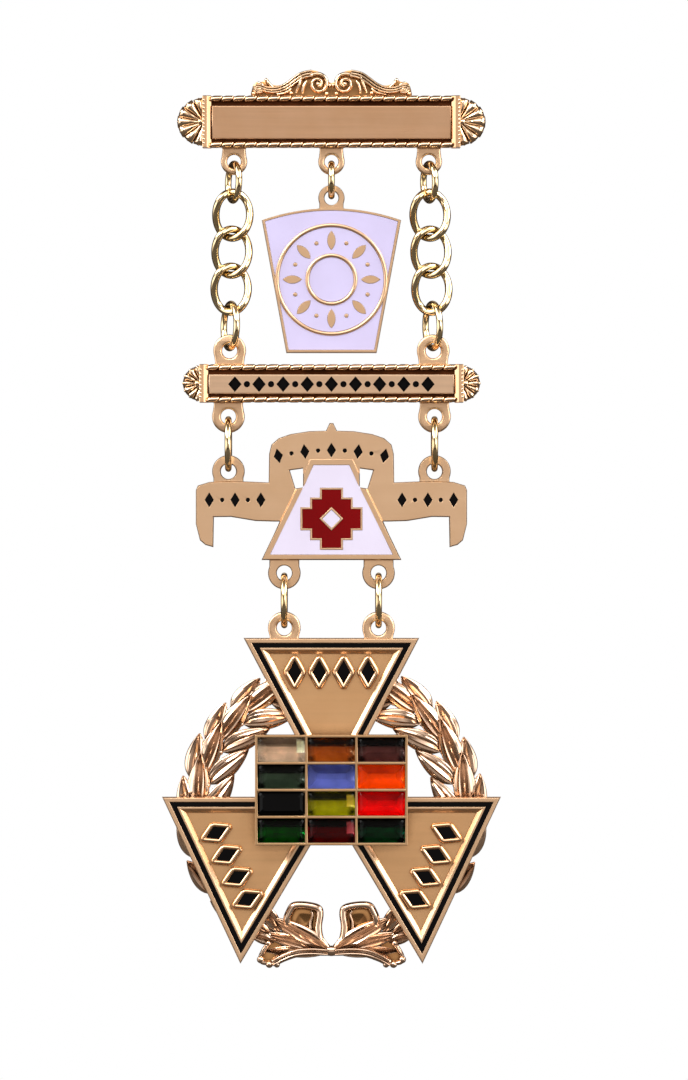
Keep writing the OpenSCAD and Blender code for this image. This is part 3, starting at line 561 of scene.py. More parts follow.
def sweep(bm: BMesh, way: Sequence[Point], section: Outline,
          sizes: Callable[[float], float] = lambda t: 1.0, closed: bool = False) -> None:
    """Adds a bar of one section along a line that lies in the upright plane.

    Args:
        bm: The mesh that takes the bar.
        way: Points of the line.
        section: The section, across the line and towards the front.
        sizes: The section's size at a share of the line.
        closed: Whether the line comes back to its start.
    """
    points = [Vector(p) for p in way]
    n = len(points)
    rings = []
    for i, point in enumerate(points):
        after = points[(i + 1) % n] if closed else points[min(i + 1, n - 1)]
        before = points[i - 1] if closed else points[max(i - 1, 0)]
        ahead = (after - before).normalized()
        side = ahead.cross(TO_FRONT).normalized()
        size = sizes(i / (n - 1))
        rings.append([point + size * (a * side + b * TO_FRONT) for a, b in section])
    add_loft(bm, rings, closed)


def oval(width: float, depth: float, sides: int = 12) -> Outline:
    """An oval section or outline."""
    return [(width / 2 * math.cos(a), depth / 2 * math.sin(a)) for a in (2 * math.pi * k / sides for k in range(sides))]


# Finishes


class Effect(Wires):
    """A shader node group with named inputs and outputs."""

    def __init__(self, name: str, **inputs: object) -> None:
        """Starts a group without outputs.

        Args:
            name: The group's name.
            **inputs: Default value by input name: a number, or a colour of four numbers.
        """
        super().__init__(bpy.data.node_groups.new(name, "ShaderNodeTree"))
        for label, value in inputs.items():
            kind = "NodeSocketFloat" if isinstance(value, float) else "NodeSocketColor"
            self.tree.interface.new_socket(label, in_out="INPUT", socket_type=kind).default_value = value
        self.entry = self.node("NodeGroupInput").outputs

    def put_out(self, **outputs: NodeSocket) -> "Effect":
        """Adds the group's outputs.

        Args:
            **outputs: What each output gives, by its name. The one named Color is a colour.

        Returns:
            The same group.
        """
        for label in outputs:
            kind = "NodeSocketColor" if label == "Color" else "NodeSocketFloat"
            self.tree.interface.new_socket(label, in_out="OUTPUT", socket_type=kind)
        self.feed(self.node("NodeGroupOutput"), outputs)
        return self


@cache
def metal_effect() -> Effect:
    """Tone of plated metal: cloudy variation, and brown painted shade where ambient occlusion finds the metal hemmed
    in.

    Returns:
        The group, with the outputs Color, Height and Roughness.
    """
    fx = Effect("plated metal", Bright=(0.8, 0.6, 0.4, 1), Warm=(0.7, 0.5, 0.3, 1), Tarnish=(0.1, 0.04, 0.01, 1),
                Open=1.0, Depth=0.5, Roughness=0.2)
    cloud, fine = fx.noise(210.0, detail=4.0), fx.noise(2600.0, detail=2.0)
    tone = fx.clouded(cloud, fx.entry["Bright"], fx.entry["Warm"], 0.35, 0.65)
    broken = fx.calc("ADD", fx.entry["Open"], fx.spread(fine, 0.3, 0.7, -0.06, 0.06))
    # Painted shade: darker and rougher where ambient occlusion is low, in hollows, creases and beside taller parts.
    painted_shade = fx.spread(broken, 0.12, fx.entry["Depth"], 1.0, 0.0)
    rough = fx.calc("ADD", fx.entry["Roughness"], fx.spread(cloud, 0.3, 0.7, -0.03, 0.05))
    return fx.put_out(Color=fx.mix(painted_shade, tone, fx.entry["Tarnish"]), Height=fine,
                      Roughness=fx.calc("MULTIPLY_ADD", painted_shade, 0.3, rough))


@cache
def brush_effect() -> Effect:
    """Fine brush lines along X.

    Returns:
        The group, with the outputs Color, Height and Roughness.
    """
    fx = Effect("brush lines", Base=(0.8, 0.6, 0.4, 1), Strength=0.3)
    lines, wide = fx.noise(900.0, (0.03, 1.0, 1.0), 5.0), fx.noise(260.0, (0.02, 1.0, 1.0))
    both = fx.calc("MULTIPLY_ADD", lines, 0.6, fx.calc("MULTIPLY", wide, 0.4))
    share = fx.calc("MULTIPLY", fx.spread(both, 0.35, 0.65, 0.0, 1.0), fx.entry["Strength"])
    dark = fx.mix(0.32, fx.entry["Base"], (0.12, 0.05, 0.02, 1))
    return fx.put_out(Color=fx.mix(share, fx.entry["Base"], dark), Height=both,
                      Roughness=fx.spread(both, 0.3, 0.7, 0.26, 0.4))


@cache
def enamel_effect() -> Effect:
    """Fired enamel: a cloudy tone and a faintly uneven skin.

    Returns:
        The group, with the outputs Color, Height and Roughness.
    """
    fx = Effect("fired enamel", Tone=(0.8, 0.8, 0.8, 1), Cloud=(0.7, 0.7, 0.7, 1))
    cloud, grain = fx.noise(130.0), fx.noise(1500.0, detail=2.0)
    return fx.put_out(Color=fx.clouded(cloud, fx.entry["Tone"], fx.entry["Cloud"]),
                      Height=fx.calc("MULTIPLY_ADD", grain, 0.15, cloud),
                      Roughness=fx.spread(grain, 0.3, 0.7, 0.06, 0.16))


class Mask(Enum):
    """The masks of a stone where shade is painted on its tone."""

    SHADE = "Shade"
    TOP = "Top"


@cache
def bands_effect() -> Effect:
    """Masks of painted shade and painted highlight on a step-cut stone, by height in millimetres and by share of half
    its width.

    Returns:
        The group, with the outputs Shade for the painted shade on the upper part and side facets and for dark marks at
        the lower corners,
        Top for the painted shade on the top strip, and Glint for the painted highlight at the right end.
    """
    fx = Effect("stone bands", Across=0.0, Up=0.0, Half=0.003)
    place = fx("SeparateXYZ", {0: fx("TexCoord").outputs["Object"]}).outputs
    up = fx.calc("DIVIDE", fx.calc("SUBTRACT", place["Z"], fx.entry["Up"]), MM)
    across = fx.calc("DIVIDE", fx.calc("SUBTRACT", place["X"], fx.entry["Across"]), fx.entry["Half"])
    outer = fx.calc("ABSOLUTE", across)
    upper, side = fx.spread(up, 0.38, 0.52, 0.0, 1.0), fx.spread(outer, 0.70, 0.82, 0.0, 0.55)
    aside = fx.calc("MULTIPLY", fx.calc("SUBTRACT", outer, 0.84), 3.4)
    from_corner = fx("CombineXYZ", {"X": aside, "Y": fx.calc("ADD", up, 1.3)}).outputs[0]
    away = fx("VectorMath", {0: from_corner}, operation="LENGTH").outputs["Value"]
    corner = fx.spread(away, 0.15, 0.7, 0.95, 0.0)
    wide, tall = (fx.calc("MULTIPLY", fx.spread(value, start, full, 0.0, 1.0), fx.spread(value, fades, end, 1.0, 0.0))
                  for value, start, full, fades, end in ((across, 0.62, 0.66, 0.93, 0.97),
                                                         (up, -0.6, -0.45, 1.25, 1.45)))
    return fx.put_out(Shade=fx.calc("MAXIMUM", upper, fx.calc("MAXIMUM", side, corner)),
                      Top=fx.spread(up, 0.7, 1.0, 0.0, 1.0), Facet=fx.calc("MULTIPLY", wide, tall))


def new_material(name: str) -> tuple[Material, Wires, Node]:
    """Makes a material that has only its principled shader.

    Args:
        name: The material's name.

    Returns:
        The material, its node maker and its shader.
    """
    material = bpy.data.materials.new(name)
    material.use_nodes = True
    material.node_tree.nodes.clear()
    add = Wires(material.node_tree)
    shader = add("BsdfPrincipled")
    add("OutputMaterial", {0: shader.outputs[0]})
    return material, add, shader


def use(add: Wires, fx: Effect, **values: object) -> Node:
    """Places an effect in a material and sets or links its inputs."""
    return add("Group", values, node_tree=fx.tree)


def lay(add: Wires, skin: Node, bump: float, depth: float) -> dict:
    """Lays an effect's colour, roughness and bumps on a shader.

    Args:
        add: The material's node maker.
        skin: The placed effect.
        bump: Strength of the bumps.
        depth: Their depth, in millimetres.

    Returns:
        The sockets for the shader's inputs.
    """
    bumps = add("Bump", {"Height": skin.outputs["Height"], "Strength": bump, "Distance": depth * MM})
    return {"Base Color": skin.outputs["Color"], "Roughness": skin.outputs["Roughness"], "Normal": bumps.outputs[0]}


def rgba(tone: Point, share: float = 1.0) -> tuple[float, ...]:
    """A tone, darkened to a share, as a full colour."""
    return (*(share * c for c in tone), 1)


@dataclass(frozen=True)
class Metal:
    """Plated metal: its two tones, the tone of its painted shade, how rough it is and how far the painted shade
    reaches.
    """

    name: str
    bright: Point
    warm: Point
    shade_tone: Point = (0.055, 0.018, 0.004)
    rough: float = 0.17
    depth: float = 0.5
    reach: float = 0.5
    brushed: float = 0.0
    bump: float = 0.08

    def material(self) -> Material:
        """Builds the material.

        Returns:
            The material.
        """
        material, add, shader = new_material(self.name)
        # Ambient occlusion drives the painted shade.
        shade = add("AmbientOcclusion", {"Distance": self.reach * MM}, samples=4, only_local=False)
        skin = use(add, metal_effect(), Bright=rgba(self.bright), Warm=rgba(self.warm), Tarnish=rgba(self.shade_tone),
                   Open=shade.outputs["AO"], Depth=self.depth, Roughness=self.rough)
        if self.brushed:
            skin = use(add, brush_effect(), Base=skin.outputs["Color"], Strength=self.brushed)
        add.feed(shader, {**lay(add, skin, self.bump, 0.02), "Metallic": 1.0})
        return material


@dataclass(frozen=True)
class Enamel:
    """Fired enamel: its tone, the tone of its clouds and the strength of its clear coat."""

    name: str
    tone: Point
    cloud: Point
    coat: float = 0.4
    bump: float = 0.12
    shine: float = 0.5

    def material(self) -> Material:
        """Builds the material.

        Returns:
            The material.
        """
        material, add, shader = new_material(self.name)
        skin = use(add, enamel_effect(), Tone=rgba(self.tone), Cloud=rgba(self.cloud))
        add.feed(shader, {**lay(add, skin, self.bump, 0.05), "Specular IOR Level": self.shine,
                          "Coat Weight": self.coat, "Coat Roughness": 0.04})
        return material


@dataclass(frozen=True)
class Glass:
    """Cut glass and the foil behind it, with painted shade on its upper part and a painted highlight that some stones
    have at their right end.
    """

    name: str
    tint: Point
    foil: Point
    foil_rough: float = 0.12
    shaded: float = 0.9
    glint_tone: Optional[Point] = None
    mirror: float = 1.0
    bend: float = 1.17

    def banded(self, add: Wires, tone: NodeSocket, mask: Mask, centre: Point, half: float) -> NodeSocket:
        """Paints shade on a tone where a mask says and lays in the painted highlight at the right end.

        Args:
            add: The material's node maker.
            tone: The tone without bands.
            mask: Where the shade is painted.
            centre: Middle of the stone, in millimetres.
            half: Half its width, in millimetres.

        Returns:
            The banded tone.
        """
        bands = use(add, bands_effect(), Across=centre[0] * MM, Up=centre[2] * MM, Half=half * MM)
        share = add.spread(bands.outputs[mask.value], 0.0, 1.0, 0.0, self.shaded)
        # Painted shade: the masked part of the stone goes nearly black.
        tone = add.mix(share, tone, (0.004, 0.002, 0.002, 1))
        # Painted highlight: the pale tone at the stone's right end.
        return add.mix(bands.outputs["Facet"], tone, rgba(self.glint_tone)) if self.glint_tone else tone

    def material(self, centre: Point, half: float) -> Material:
        """Builds the glass.

        Args:
            centre: Middle of the stone, in millimetres.
            half: Half its width, in millimetres.

        Returns:
            The material.
        """
        material, add, shader = new_material("glass_" + self.name)
        tone = add.clouded(add.noise(160.0), rgba(self.tint), rgba(self.tint, 0.86))
        add.feed(shader, {"Base Color": self.banded(add, tone, Mask.TOP, centre, half),
                          "Roughness": add.spread(add.noise(900.0), 0.3, 0.7, 0.0, 0.03),
                          "Transmission Weight": 1.0, "IOR": self.bend})
        return material

    def backing(self, centre: Point, half: float) -> Material:
        """Builds the foil behind the glass.

        Args:
            centre: Middle of the stone, in millimetres.
            half: Half its width, in millimetres.

        Returns:
            The material.
        """
        material, add, shader = new_material("foil_" + self.name)
        cloud = add.noise(420.0)
        tone = add.clouded(cloud, rgba(self.foil), rgba(self.foil, 0.7))
        add.feed(shader, {"Base Color": self.banded(add, tone, Mask.SHADE, centre, half),
                          "Roughness": add.spread(cloud, 0.3, 0.7, self.foil_rough, self.foil_rough + 0.1),
                          "Metallic": self.mirror})
        return material


class Finish(Enum):
    """The finishes of the gilt and the enamel, among them darker and lighter copies of the gilt that paint shade and
    light.
    """

    POLISHED = Metal("polished_gilt", (0.86, 0.56, 0.33), (0.82, 0.51, 0.29), rough=0.12)
    ROPE = Metal("rope_gilt", (0.97, 0.70, 0.47), (0.92, 0.63, 0.40), rough=0.12, reach=0.4)
    # The shell gilt is a lighter copy of the gilt for the shells, beads and crest scrolls, lifted because the scrolls
    # get little light from below: painted light.
    SHELL = Metal("shell_gilt", (0.98, 0.75, 0.52), (0.92, 0.65, 0.42), rough=0.1, depth=0.6, reach=0.35)
    CAST = Metal("cast_gilt", (0.96, 0.72, 0.54), (0.87, 0.59, 0.41), rough=0.09, depth=0.8, reach=1.1, bump=0.06)
    # The top bar's panel is a darker copy and the lower bar's a lighter copy of the same brushed gilt: painted shade
    # and painted light.
    SHADED_PANEL = Metal("shaded_panel_gilt", (0.73, 0.45, 0.27), (0.70, 0.42, 0.24), rough=0.26, reach=0.35, brushed=0.8,
                    bump=0.25)
    LIT_PANEL = Metal("lit_panel_gilt", (0.90, 0.63, 0.42), (0.87, 0.60, 0.40), rough=0.26, reach=0.35, brushed=0.8,
                  bump=0.25)
    # The field's painted shade reaches 3 mm, so it also paints the shadow that the stone setting casts on the field.
    FIELD = Metal("field_gilt", (0.86, 0.52, 0.26), (0.83, 0.49, 0.24), rough=0.26, depth=0.72, reach=3.0,
                  brushed=0.35, bump=0.2)
    PLATE = Metal("plate_gilt", (0.86, 0.58, 0.36), (0.83, 0.55, 0.33), rough=0.16, reach=0.3, brushed=0.2, bump=0.05)
    WIRE = Metal("yellow_wire", (0.90, 0.74, 0.46), (0.80, 0.60, 0.32), rough=0.07, depth=0.55, reach=0.8, bump=0.0)
    SHADED = Metal("shaded_gilt", (0.62, 0.34, 0.14), (0.40, 0.19, 0.07), rough=0.12, depth=0.7, reach=0.8, bump=0.05)
    FRAME = Metal("frame_gilt", (0.58, 0.37, 0.20), (0.52, 0.32, 0.16), rough=0.14, reach=0.4)
    # Nearly black gilt for the groove floors: painted shade.
    GROOVE_SHADE = Metal("groove_shade_gilt", (0.10, 0.03, 0.01), (0.04, 0.012, 0.004), rough=0.5)
    WHITE = Enamel("white_enamel", (0.595, 0.545, 0.80), (0.555, 0.505, 0.735), coat=0.15, shine=0.3)
    PALE = Enamel("pale_enamel", (0.70, 0.655, 0.815), (0.66, 0.61, 0.76), coat=0.15, shine=0.3)
    BLACK = Enamel("black_enamel", (0.0006, 0.0005, 0.0006), (0.002, 0.0015, 0.002), coat=0.0, shine=0.08)
    RED = Enamel("red_enamel", (0.18, 0.001, 0.002), (0.15, 0.001, 0.002), coat=0.0, shine=0.08)

    @cached_property
    def material(self) -> Material:
        """The finish's material, built when first asked for."""
        return self.value.material()


# Pieces


def keep(piece: Object, body: Body, slot: str, material: Optional[Material], *nodes: str) -> None:
    """Dresses a piece and gives it to the frame.

    Args:
        piece: The piece.
        body: The body that it moves with.
        slot: The record's material slot; not used.
        material: The material, or None to keep the piece's own.
        *nodes: The CAD nodes that it stands for.
    """
    if material is not None:
        piece.data.materials.clear()
        piece.data.materials.append(material)
    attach(piece, body.value)
    if nodes:
        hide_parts(*nodes)
    LOG.info("%s: %d faces", piece.name, len(piece.data.polygons))


def dress(node: str, material: Material) -> None:
    """Gives a CAD node that stays its material.

    Args:
        node: The node.
        material: What it is made of.
    """
    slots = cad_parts[node].data.materials
    slots.clear()
    slots.append(material)
    LOG.info("%s: dressed", node)


@dataclass(frozen=True)
class Lug:
    """A lug with a round hole: the hole's place, and the widths of the lug and of the hole."""

    x: float
    z: float
    width: float = 5.2
    hole: float = 2.4
    foot: tuple[tuple[float, float], ...] = ((0.9, 0.62), (0.88, 0.8), (0.96, 1.0))

    def loops(self, root_z: float) -> list[Outline]:
        """Outlines of the lug, with a flared foot.

        Args:
            root_z: Height at which the foot ends, inside its part.

        Returns:
            The outer outline, and the hole the other way round.
        """
        way = 1 if root_z > self.z else -1
        radius, reach = self.width / 2, root_z - self.z
        outer = [(self.x + radius * math.cos(a), self.z - way * radius * math.sin(a))
                 for a in (math.radians(-20 + 220 * k / 36) for k in range(37))]
        outer += [(self.x - across * radius, self.z + up * reach) for across, up in self.foot]
        outer += [(self.x + across * radius, self.z + up * reach) for across, up in reversed(self.foot)]
        hole = [(self.x + self.hole / 2 * math.cos(a), self.z + way * self.hole / 2 * math.sin(a))
                for a in (math.pi * k / 20 for k in range(40))]
        return [outer, hole]


@dataclass
class Chains:
    """The two side chains and the jump rings, whose wire is fuller outwards than the solids' wire.

    Each ring has its outer width and its body.
    """

    wire: float = 0.9
    fuller: float = 0.16
    link_wire: float = 1.05
    link_l: float = 8.2
    link_w: float = 6.3
    twist: float = 0.76
    lean: float = 0.7 / 29.85
    ring_turn: float = math.radians(18)
    rings: dict[str, tuple[float, Body]] = field(default_factory=lambda: {
        "left_chain_ring_top": (6.6, Body.HANGER), "right_chain_ring_top": (6.6, Body.HANGER),
        "left_chain_ring_low": (7.8, Body.HANGER), "right_chain_ring_low": (7.8, Body.HANGER),
        "keystone_ring": (5.9, Body.KEYSTONE),
        "banner_ring_left": (8.6, Body.BANNER), "banner_ring_right": (8.6, Body.BANNER),
        "jewel_ring_left": (8.6, Body.JEWEL), "jewel_ring_right": (8.6, Body.JEWEL),
    })

    def build(self) -> None:
        """Builds every ring and link in the place of its CAD node."""
        empty = bpy.data.meshes.new("start")
        rings, links = ring_tree(Finish.WIRE.material), link_tree(Finish.WIRE.material)
        lean = {name: Matrix.Rotation(-side * self.lean, 4, "Y") for name, side in zip(("left", "right"), SIDES)}
        for node, (outer, body) in self.rings.items():
            piece = rings.make(node + "_wire", empty, Radius=(outer - self.wire + self.fuller) / 2 * MM,
                               Wire=(self.wire + self.fuller) / 2 * MM)
            turn = Matrix.Identity(4)
            if "chain" in node:
                turn = lean[node.split("_")[0]] @ Matrix.Rotation(self.ring_turn, 4, "Z")
            self.hang(piece, node, body, turn)
        for name, turn in lean.items():
            for count in (1, 2, 3):
                node = f"{name}_link_{count}"
                piece = links.make(node + "_curb", empty, Twist=self.twist * MM,
                                   Half_width=(self.link_w - self.link_wire + self.fuller) / 2 * MM,
                                   Half_length=(self.link_l - self.link_wire + self.fuller) / 2 * MM,
                                   Wire=(self.link_wire + self.fuller) / 2 * MM)
                self.hang(piece, node, Body.HANGER, turn)

    def hang(self, piece: Object, node: str, body: Body, turn: Matrix) -> None:
        """Turns a ring or link and puts it in its CAD node's place."""
        piece.data.transform(Matrix.Translation(middle(node) * MM) @ turn)
        keep(piece, body, "yellow_gilt", None, node)


@dataclass
class Bar:
    """One of the two bars: block, end strips, rope edges, sunk panel, end shells and lugs.

    The length of its row of figures is a share of its own length, and their widths are shares of their pitch.
    """

    node: str
    length: float
    height: float
    z: float
    shell_reach: float
    lugs: list[Lug]
    figures: int = 0
    back: float = -2.0
    depth: float = 3.0
    rope_w: float = 1.0
    rope_pitch: float = 1.85
    rope_d: float = 1.3
    rope_round: float = 0.44
    rope_slant: float = 0.6
    rope_dip: float = 0.16
    groove_w: float = 0.52
    groove_sunk: float = 0.9
    panel_sunk: float = 0.34
    panel_drop: float = 0.13
    strip_w: float = 1.4
    slope_w: float = 0.62
    ribs: int = 7
    hub_in: float = 0.3
    bead_r: float = 0.3
    bead_pitch: float = 0.62
    figures_l: float = 0.73
    lozenge: tuple[float, float] = (0.56, 2.5)
    dot: float = 0.26

    @property
    def front(self) -> float:
        """Depth of the bar's front."""
        return self.back - self.depth

    @property
    def panel_x(self) -> float:
        """Half the length between the end strips."""
        return self.length / 2 - self.strip_w

    @property
    def shell_r(self) -> float:
        """Half the height of an end shell."""
        return 0.46 * self.height

    def slab(self, bm: BMesh, x: float, z: float, levels: Sequence[tuple[float, float]], drop: float = 0.0) -> None:
        """Adds a block with a stepped front.

        Args:
            bm: The mesh that takes the block.
            x: Half its length.
            z: Half its height.
            levels: How far each of its rings lies inside its outline, and the ring's depth.
            drop: How far its middle lies below the bar's.
        """
        low, high = self.z - drop - z, self.z - drop + z
        add_terraces(bm, [(-x, low), (x, low), (x, high), (-x, high)], levels)

    def strip(self, off: float) -> Outline:
        """Section of the right end strip, with its outer side and its front moved inwards.

        Args:
            off: How far they move.

        Returns:
            The section, in X and Y.
        """
        inner, outer = self.panel_x, self.length / 2 - off
        crest = self.panel_x + self.slope_w
        return [(inner, self.back - off), (inner, self.front + self.panel_sunk + 0.2 + off),
                (crest - 0.04, self.front + 0.03 + off), (crest + 0.06, self.front + off),
                (outer - 0.14, self.front + off), (outer, self.front + 0.14 + off), (outer, self.back - off)]

    def block(self) -> Object:
        """The block behind the panel and its two end strips, which slope down to the panel.

        Returns:
            The new piece.
        """
        bm = bmesh.new()
        rise = self.height / 2
        floor = self.front + self.groove_sunk
        self.slab(bm, self.panel_x + 0.1, rise - 0.1, [(0.1, self.back), (0, self.back - 0.1), (0, floor + 0.1),
                                                       (0.05, floor + 0.02), (0.3, floor + 0.02)])
        for side in SIDES:
            rings = []
            for z, off in ((-rise, 0.12), (-rise + 0.1, 0.0), (rise - 0.1, 0.0), (rise, 0.12)):
                rings.append([(side * x, y, self.z + z) for x, y in self.strip(off)])
            add_loft(bm, rings)
            hub = self.length / 2 - self.hub_in
            fan = [(hub, -self.shell_r)]
            fan += [(hub + (self.shell_reach + 0.1) * math.cos(a), self.shell_r * math.sin(a))
                    for a in (math.radians(-80 + 10 * k) for k in range(17))]
            fan += [(hub, self.shell_r)]
            add_loft(bm, [[(side * x, y, self.z + 0.88 * z) for x, z in fan]
                          for y in (self.back - 0.05, self.front + 1.6)])
        return from_bmesh(self.node + "_block", bm, even=True)

    def groove(self) -> Object:
        """The nearly black floor of the groove round the panel: painted shade.

        Returns:
            The new piece.
        """
        bm = bmesh.new()
        floor = self.front + self.groove_sunk
        self.slab(bm, self.panel_x, self.height / 2 - 0.14, [(0, floor + 0.03), (0, floor), (0.2, floor)])
        return from_bmesh(self.node + "_groove", bm, sharp=30)

    def panel(self) -> Object:
        """The brushed panel, which stands in the groove.

        Returns:
            The new piece.
        """
        bm = bmesh.new()
        top = self.front + self.panel_sunk
        z = self.height / 2 - self.rope_w - self.groove_w
        self.slab(bm, self.panel_x - 0.12, z, [(0, self.front + self.groove_sunk + 0.02), (0, top + 0.1),
                                               (0.03, top + 0.03), (0.1, top), (0.3, top)], self.panel_drop)
        return from_bmesh(self.node + "_panel", bm, sharp=60, even=True)

    def ropes(self) -> Object:
        """The rope edges: flat slanted lobes above and below the panel.

        Returns:
            The new piece.
        """
        span = 2 * self.panel_x + 0.3
        count = round(span / self.rope_pitch)
        pitch = span / count
        bm = bmesh.new()
        bmesh.ops.create_cube(bm, size=1)
        bmesh.ops.scale(bm, vec=(0.99 * pitch, self.rope_d, self.rope_w), verts=bm.verts)
        bmesh.ops.bevel(bm, geom=bm.edges[:], offset=self.rope_round, segments=4, profile=0.5, affect="EDGES")
        for v in bm.verts:
            v.co.x += self.rope_slant * v.co.z
            v.co.y += self.rope_dip * (2 * v.co.z / self.rope_w) ** 2 if v.co.y < 0 else 0.0
        lobe = from_bmesh("lobe", bm)
        z = self.height / 2 - self.rope_w / 2
        seats = [Seat((-span / 2 + (i + 0.5) * pitch, self.front + self.rope_d / 2, self.z + side * z))
                 for side in SIDES for i in range(count)]
        return repeated(self.node + "_ropes", lobe, seats, Finish.ROPE.material, uneven=0.02, seed=3, sharp=60)

    def rib_seats(self) -> list[tuple[float, float, float, float]]:
        """Foot, side, heading and length of every shell rib.

        Returns:
            The foot's X, the side, the heading in radians and the length of each.
        """
        seats = []
        for side in SIDES:
            foot = side * (self.length / 2 - self.hub_in)
            for i in range(self.ribs):
                a = -math.pi / 2 + (i + 0.5) * math.pi / self.ribs
                across, up = (self.shell_reach + 0.3) * math.cos(a), self.shell_r * math.sin(a)
                seats.append((foot, side, math.atan2(up, side * across), math.hypot(across, up)))
        return seats

    def shells(self) -> Object:
        """The end shells: a fan of ridged ribs on each end.

        Returns:
            The new piece.
        """
        spread = math.pi / self.ribs / 2
        bm = bmesh.new()
        rings = []
        for t, lift in ((0.04, 0.75), (0.2, 0.62), (0.5, 0.8), (0.8, 1.0), (0.92, 0.9), (1.0, 0.35)):
            across = ((-1, 0.45), (-0.7, 0.8), (-0.2, 1), (0.2, 1), (0.7, 0.8), (1, 0.45))
            top = [(t * math.cos(v * spread), -0.8 * lift * h, t * math.sin(v * spread)) for v, h in across]
            rings.append(top + [(x, 0.5, z) for x, _, z in (top[-1], top[0])])
        add_loft(bm, rings)
        rib = from_bmesh("rib", bm)
        seats = [Seat((foot, self.front + 1.25, self.z), (0, -heading, 0), (long, 1.35, long))
                 for foot, _, heading, long in self.rib_seats()]
        return repeated(self.node + "_shells", rib, seats, Finish.SHELL.material, sharp=50)

    def beads(self) -> Object:
        """The beads: one on each rib's tip, one on each hub and a row down each end strip.

        Returns:
            The new piece.
        """
        bm = bmesh.new()
        add_ball(bm, self.bead_r)
        bead = from_bmesh("bead", bm)
        seats = []
        for foot, side, heading, long in self.rib_seats():
            reach = 0.94 * long
            seats.append(Seat((foot + reach * math.cos(heading), self.front + 0.95,
                               self.z + reach * math.sin(heading))))
            seats.append(Seat((foot + side * 0.62, self.front + 0.62, self.z), grow=(1.5, 1.2, 1.5)))
        count = round((self.height - 1) / self.bead_pitch)
        for side in SIDES:
            for i in range(count):
                at = (side * (self.length / 2 - 0.2), self.front + 0.12,
                      self.z + (i + 0.5 - count / 2) * self.bead_pitch)
                seats.append(Seat(at, grow=(0.7, 0.6, 0.8)))
        return repeated(self.node + "_beads", bead, seats, Finish.SHELL.material, uneven=0.06, seed=5, sharp=80)

    def eyes(self) -> Object:
        """The lugs, with flared feet that run behind the block.

        Returns:
            The new piece.
        """
        loops = []
        for lug in self.lugs:
            way = 1 if self.z > lug.z else -1
            loops += lug.loops(self.z - way * (self.height / 2 - 0.3))
        return flat_plate(self.node + "_lugs", loops, LUG_FRONT, LUG_BACK, LUG_EDGE)

    def ornament(self, round_one: bool) -> Object:
        """The black lozenges of the panel, or the dots between them.

        Args:
            round_one: Whether the dots are made.

        Returns:
            The new piece.
        """
        pitch = self.figures_l * self.length / (self.figures - 1)
        top = self.front + self.panel_sunk
        bm = bmesh.new()
        if round_one:
            outline, count = oval(2, 2, 24), self.figures - 1
            width = height = self.dot * pitch
        else:
            outline, count = [(0, -1), (1, 0), (0, 1), (-1, 0)], self.figures
            width, height = self.lozenge[0] * pitch, self.lozenge[1]
        shape = [(x * width / 2, z * height / 2) for x, z in outline]
        add_terraces(bm, shape, [(0, 0.1), (0, -0.02), (0.08, -0.05)])
        figure = from_bmesh("figure", bm)
        seats = [Seat(((i - (count - 1) / 2) * pitch, top, self.z - self.panel_drop)) for i in range(count)]
        name = self.node + ("_dots" if round_one else "_lozenges")
        return repeated(name, figure, seats, Finish.BLACK.material, sharp=30)

    def build(self) -> None:
        """Builds the bar."""
        # The top bar takes the darker panel gilt and the lower bar, with its figures, the lighter one: painted shade
        # and painted light.
        face = Finish.LIT_PANEL if self.figures else Finish.SHADED_PANEL
        for piece, material in ((self.block(), Finish.POLISHED.material), (self.groove(), Finish.GROOVE_SHADE.material),
                                (self.panel(), face.material), (self.eyes(), Finish.PLATE.material),
                                (self.ropes(), None), (self.shells(), None), (self.beads(), None)):
            keep(piece, Body.HANGER, "gilt", material, self.node)
        if self.figures:
            for round_one in (False, True):
                keep(self.ornament(round_one), Body.HANGER, "black_enamel", None, self.node + "_enamel")


# Right half of the crest, as shares of half its width and of its height: its edge, the line of its
# long band, the short strokes beside the volute, the volute's middle and the balls with their radii.
# The band has three bars, each with its distance from the line and its width in millimetres
CREST_EDGE = [(0, 0.5), (0.06, 0.62), (0.12, 0.88), (0.22, 1), (0.32, 0.97), (0.42, 0.8), (0.52, 0.58), (0.62, 0.44),
              (0.7, 0.42), (0.76, 0.5), (0.8, 0.66), (0.86, 0.56), (0.92, 0.55), (0.97, 0.44), (1, 0.1)]
CREST_BAND = [(0.24, 0.88), (0.36, 0.8), (0.46, 0.6), (0.56, 0.38), (0.68, 0.24), (0.8, 0.25), (0.9, 0.36),
              (0.95, 0.3), (0.92, 0.18), (0.86, 0.2)]
CREST_STROKES = [[(0.37, 0.74), (0.4, 0.45), (0.44, 0.12)], [(0.31, 0.6), (0.35, 0.35), (0.36, 0.1)],
                 [(0.72, 0.32), (0.77, 0.46), (0.8, 0.62)], [(0.84, 0.36), (0.87, 0.46), (0.92, 0.52)],
                 [(0.5, 0.3), (0.56, 0.14), (0.68, 0.06)]]
CREST_VOLUTE = (0.166, 0.47)
CREST_BALLS = [(CREST_VOLUTE, 0.36), ((0.89, 0.27), 0.34), ((0.965, 0.1), 0.3), ((0.81, 0.62), 0.3),
               ((0.5, 0.12), 0.3), ((0.06, 0.1), 0.3), ((0.02, 0.42), 0.26)]
CREST_BARS = [(-0.42, 0.36), (0.0, 0.4), (0.42, 0.36)]


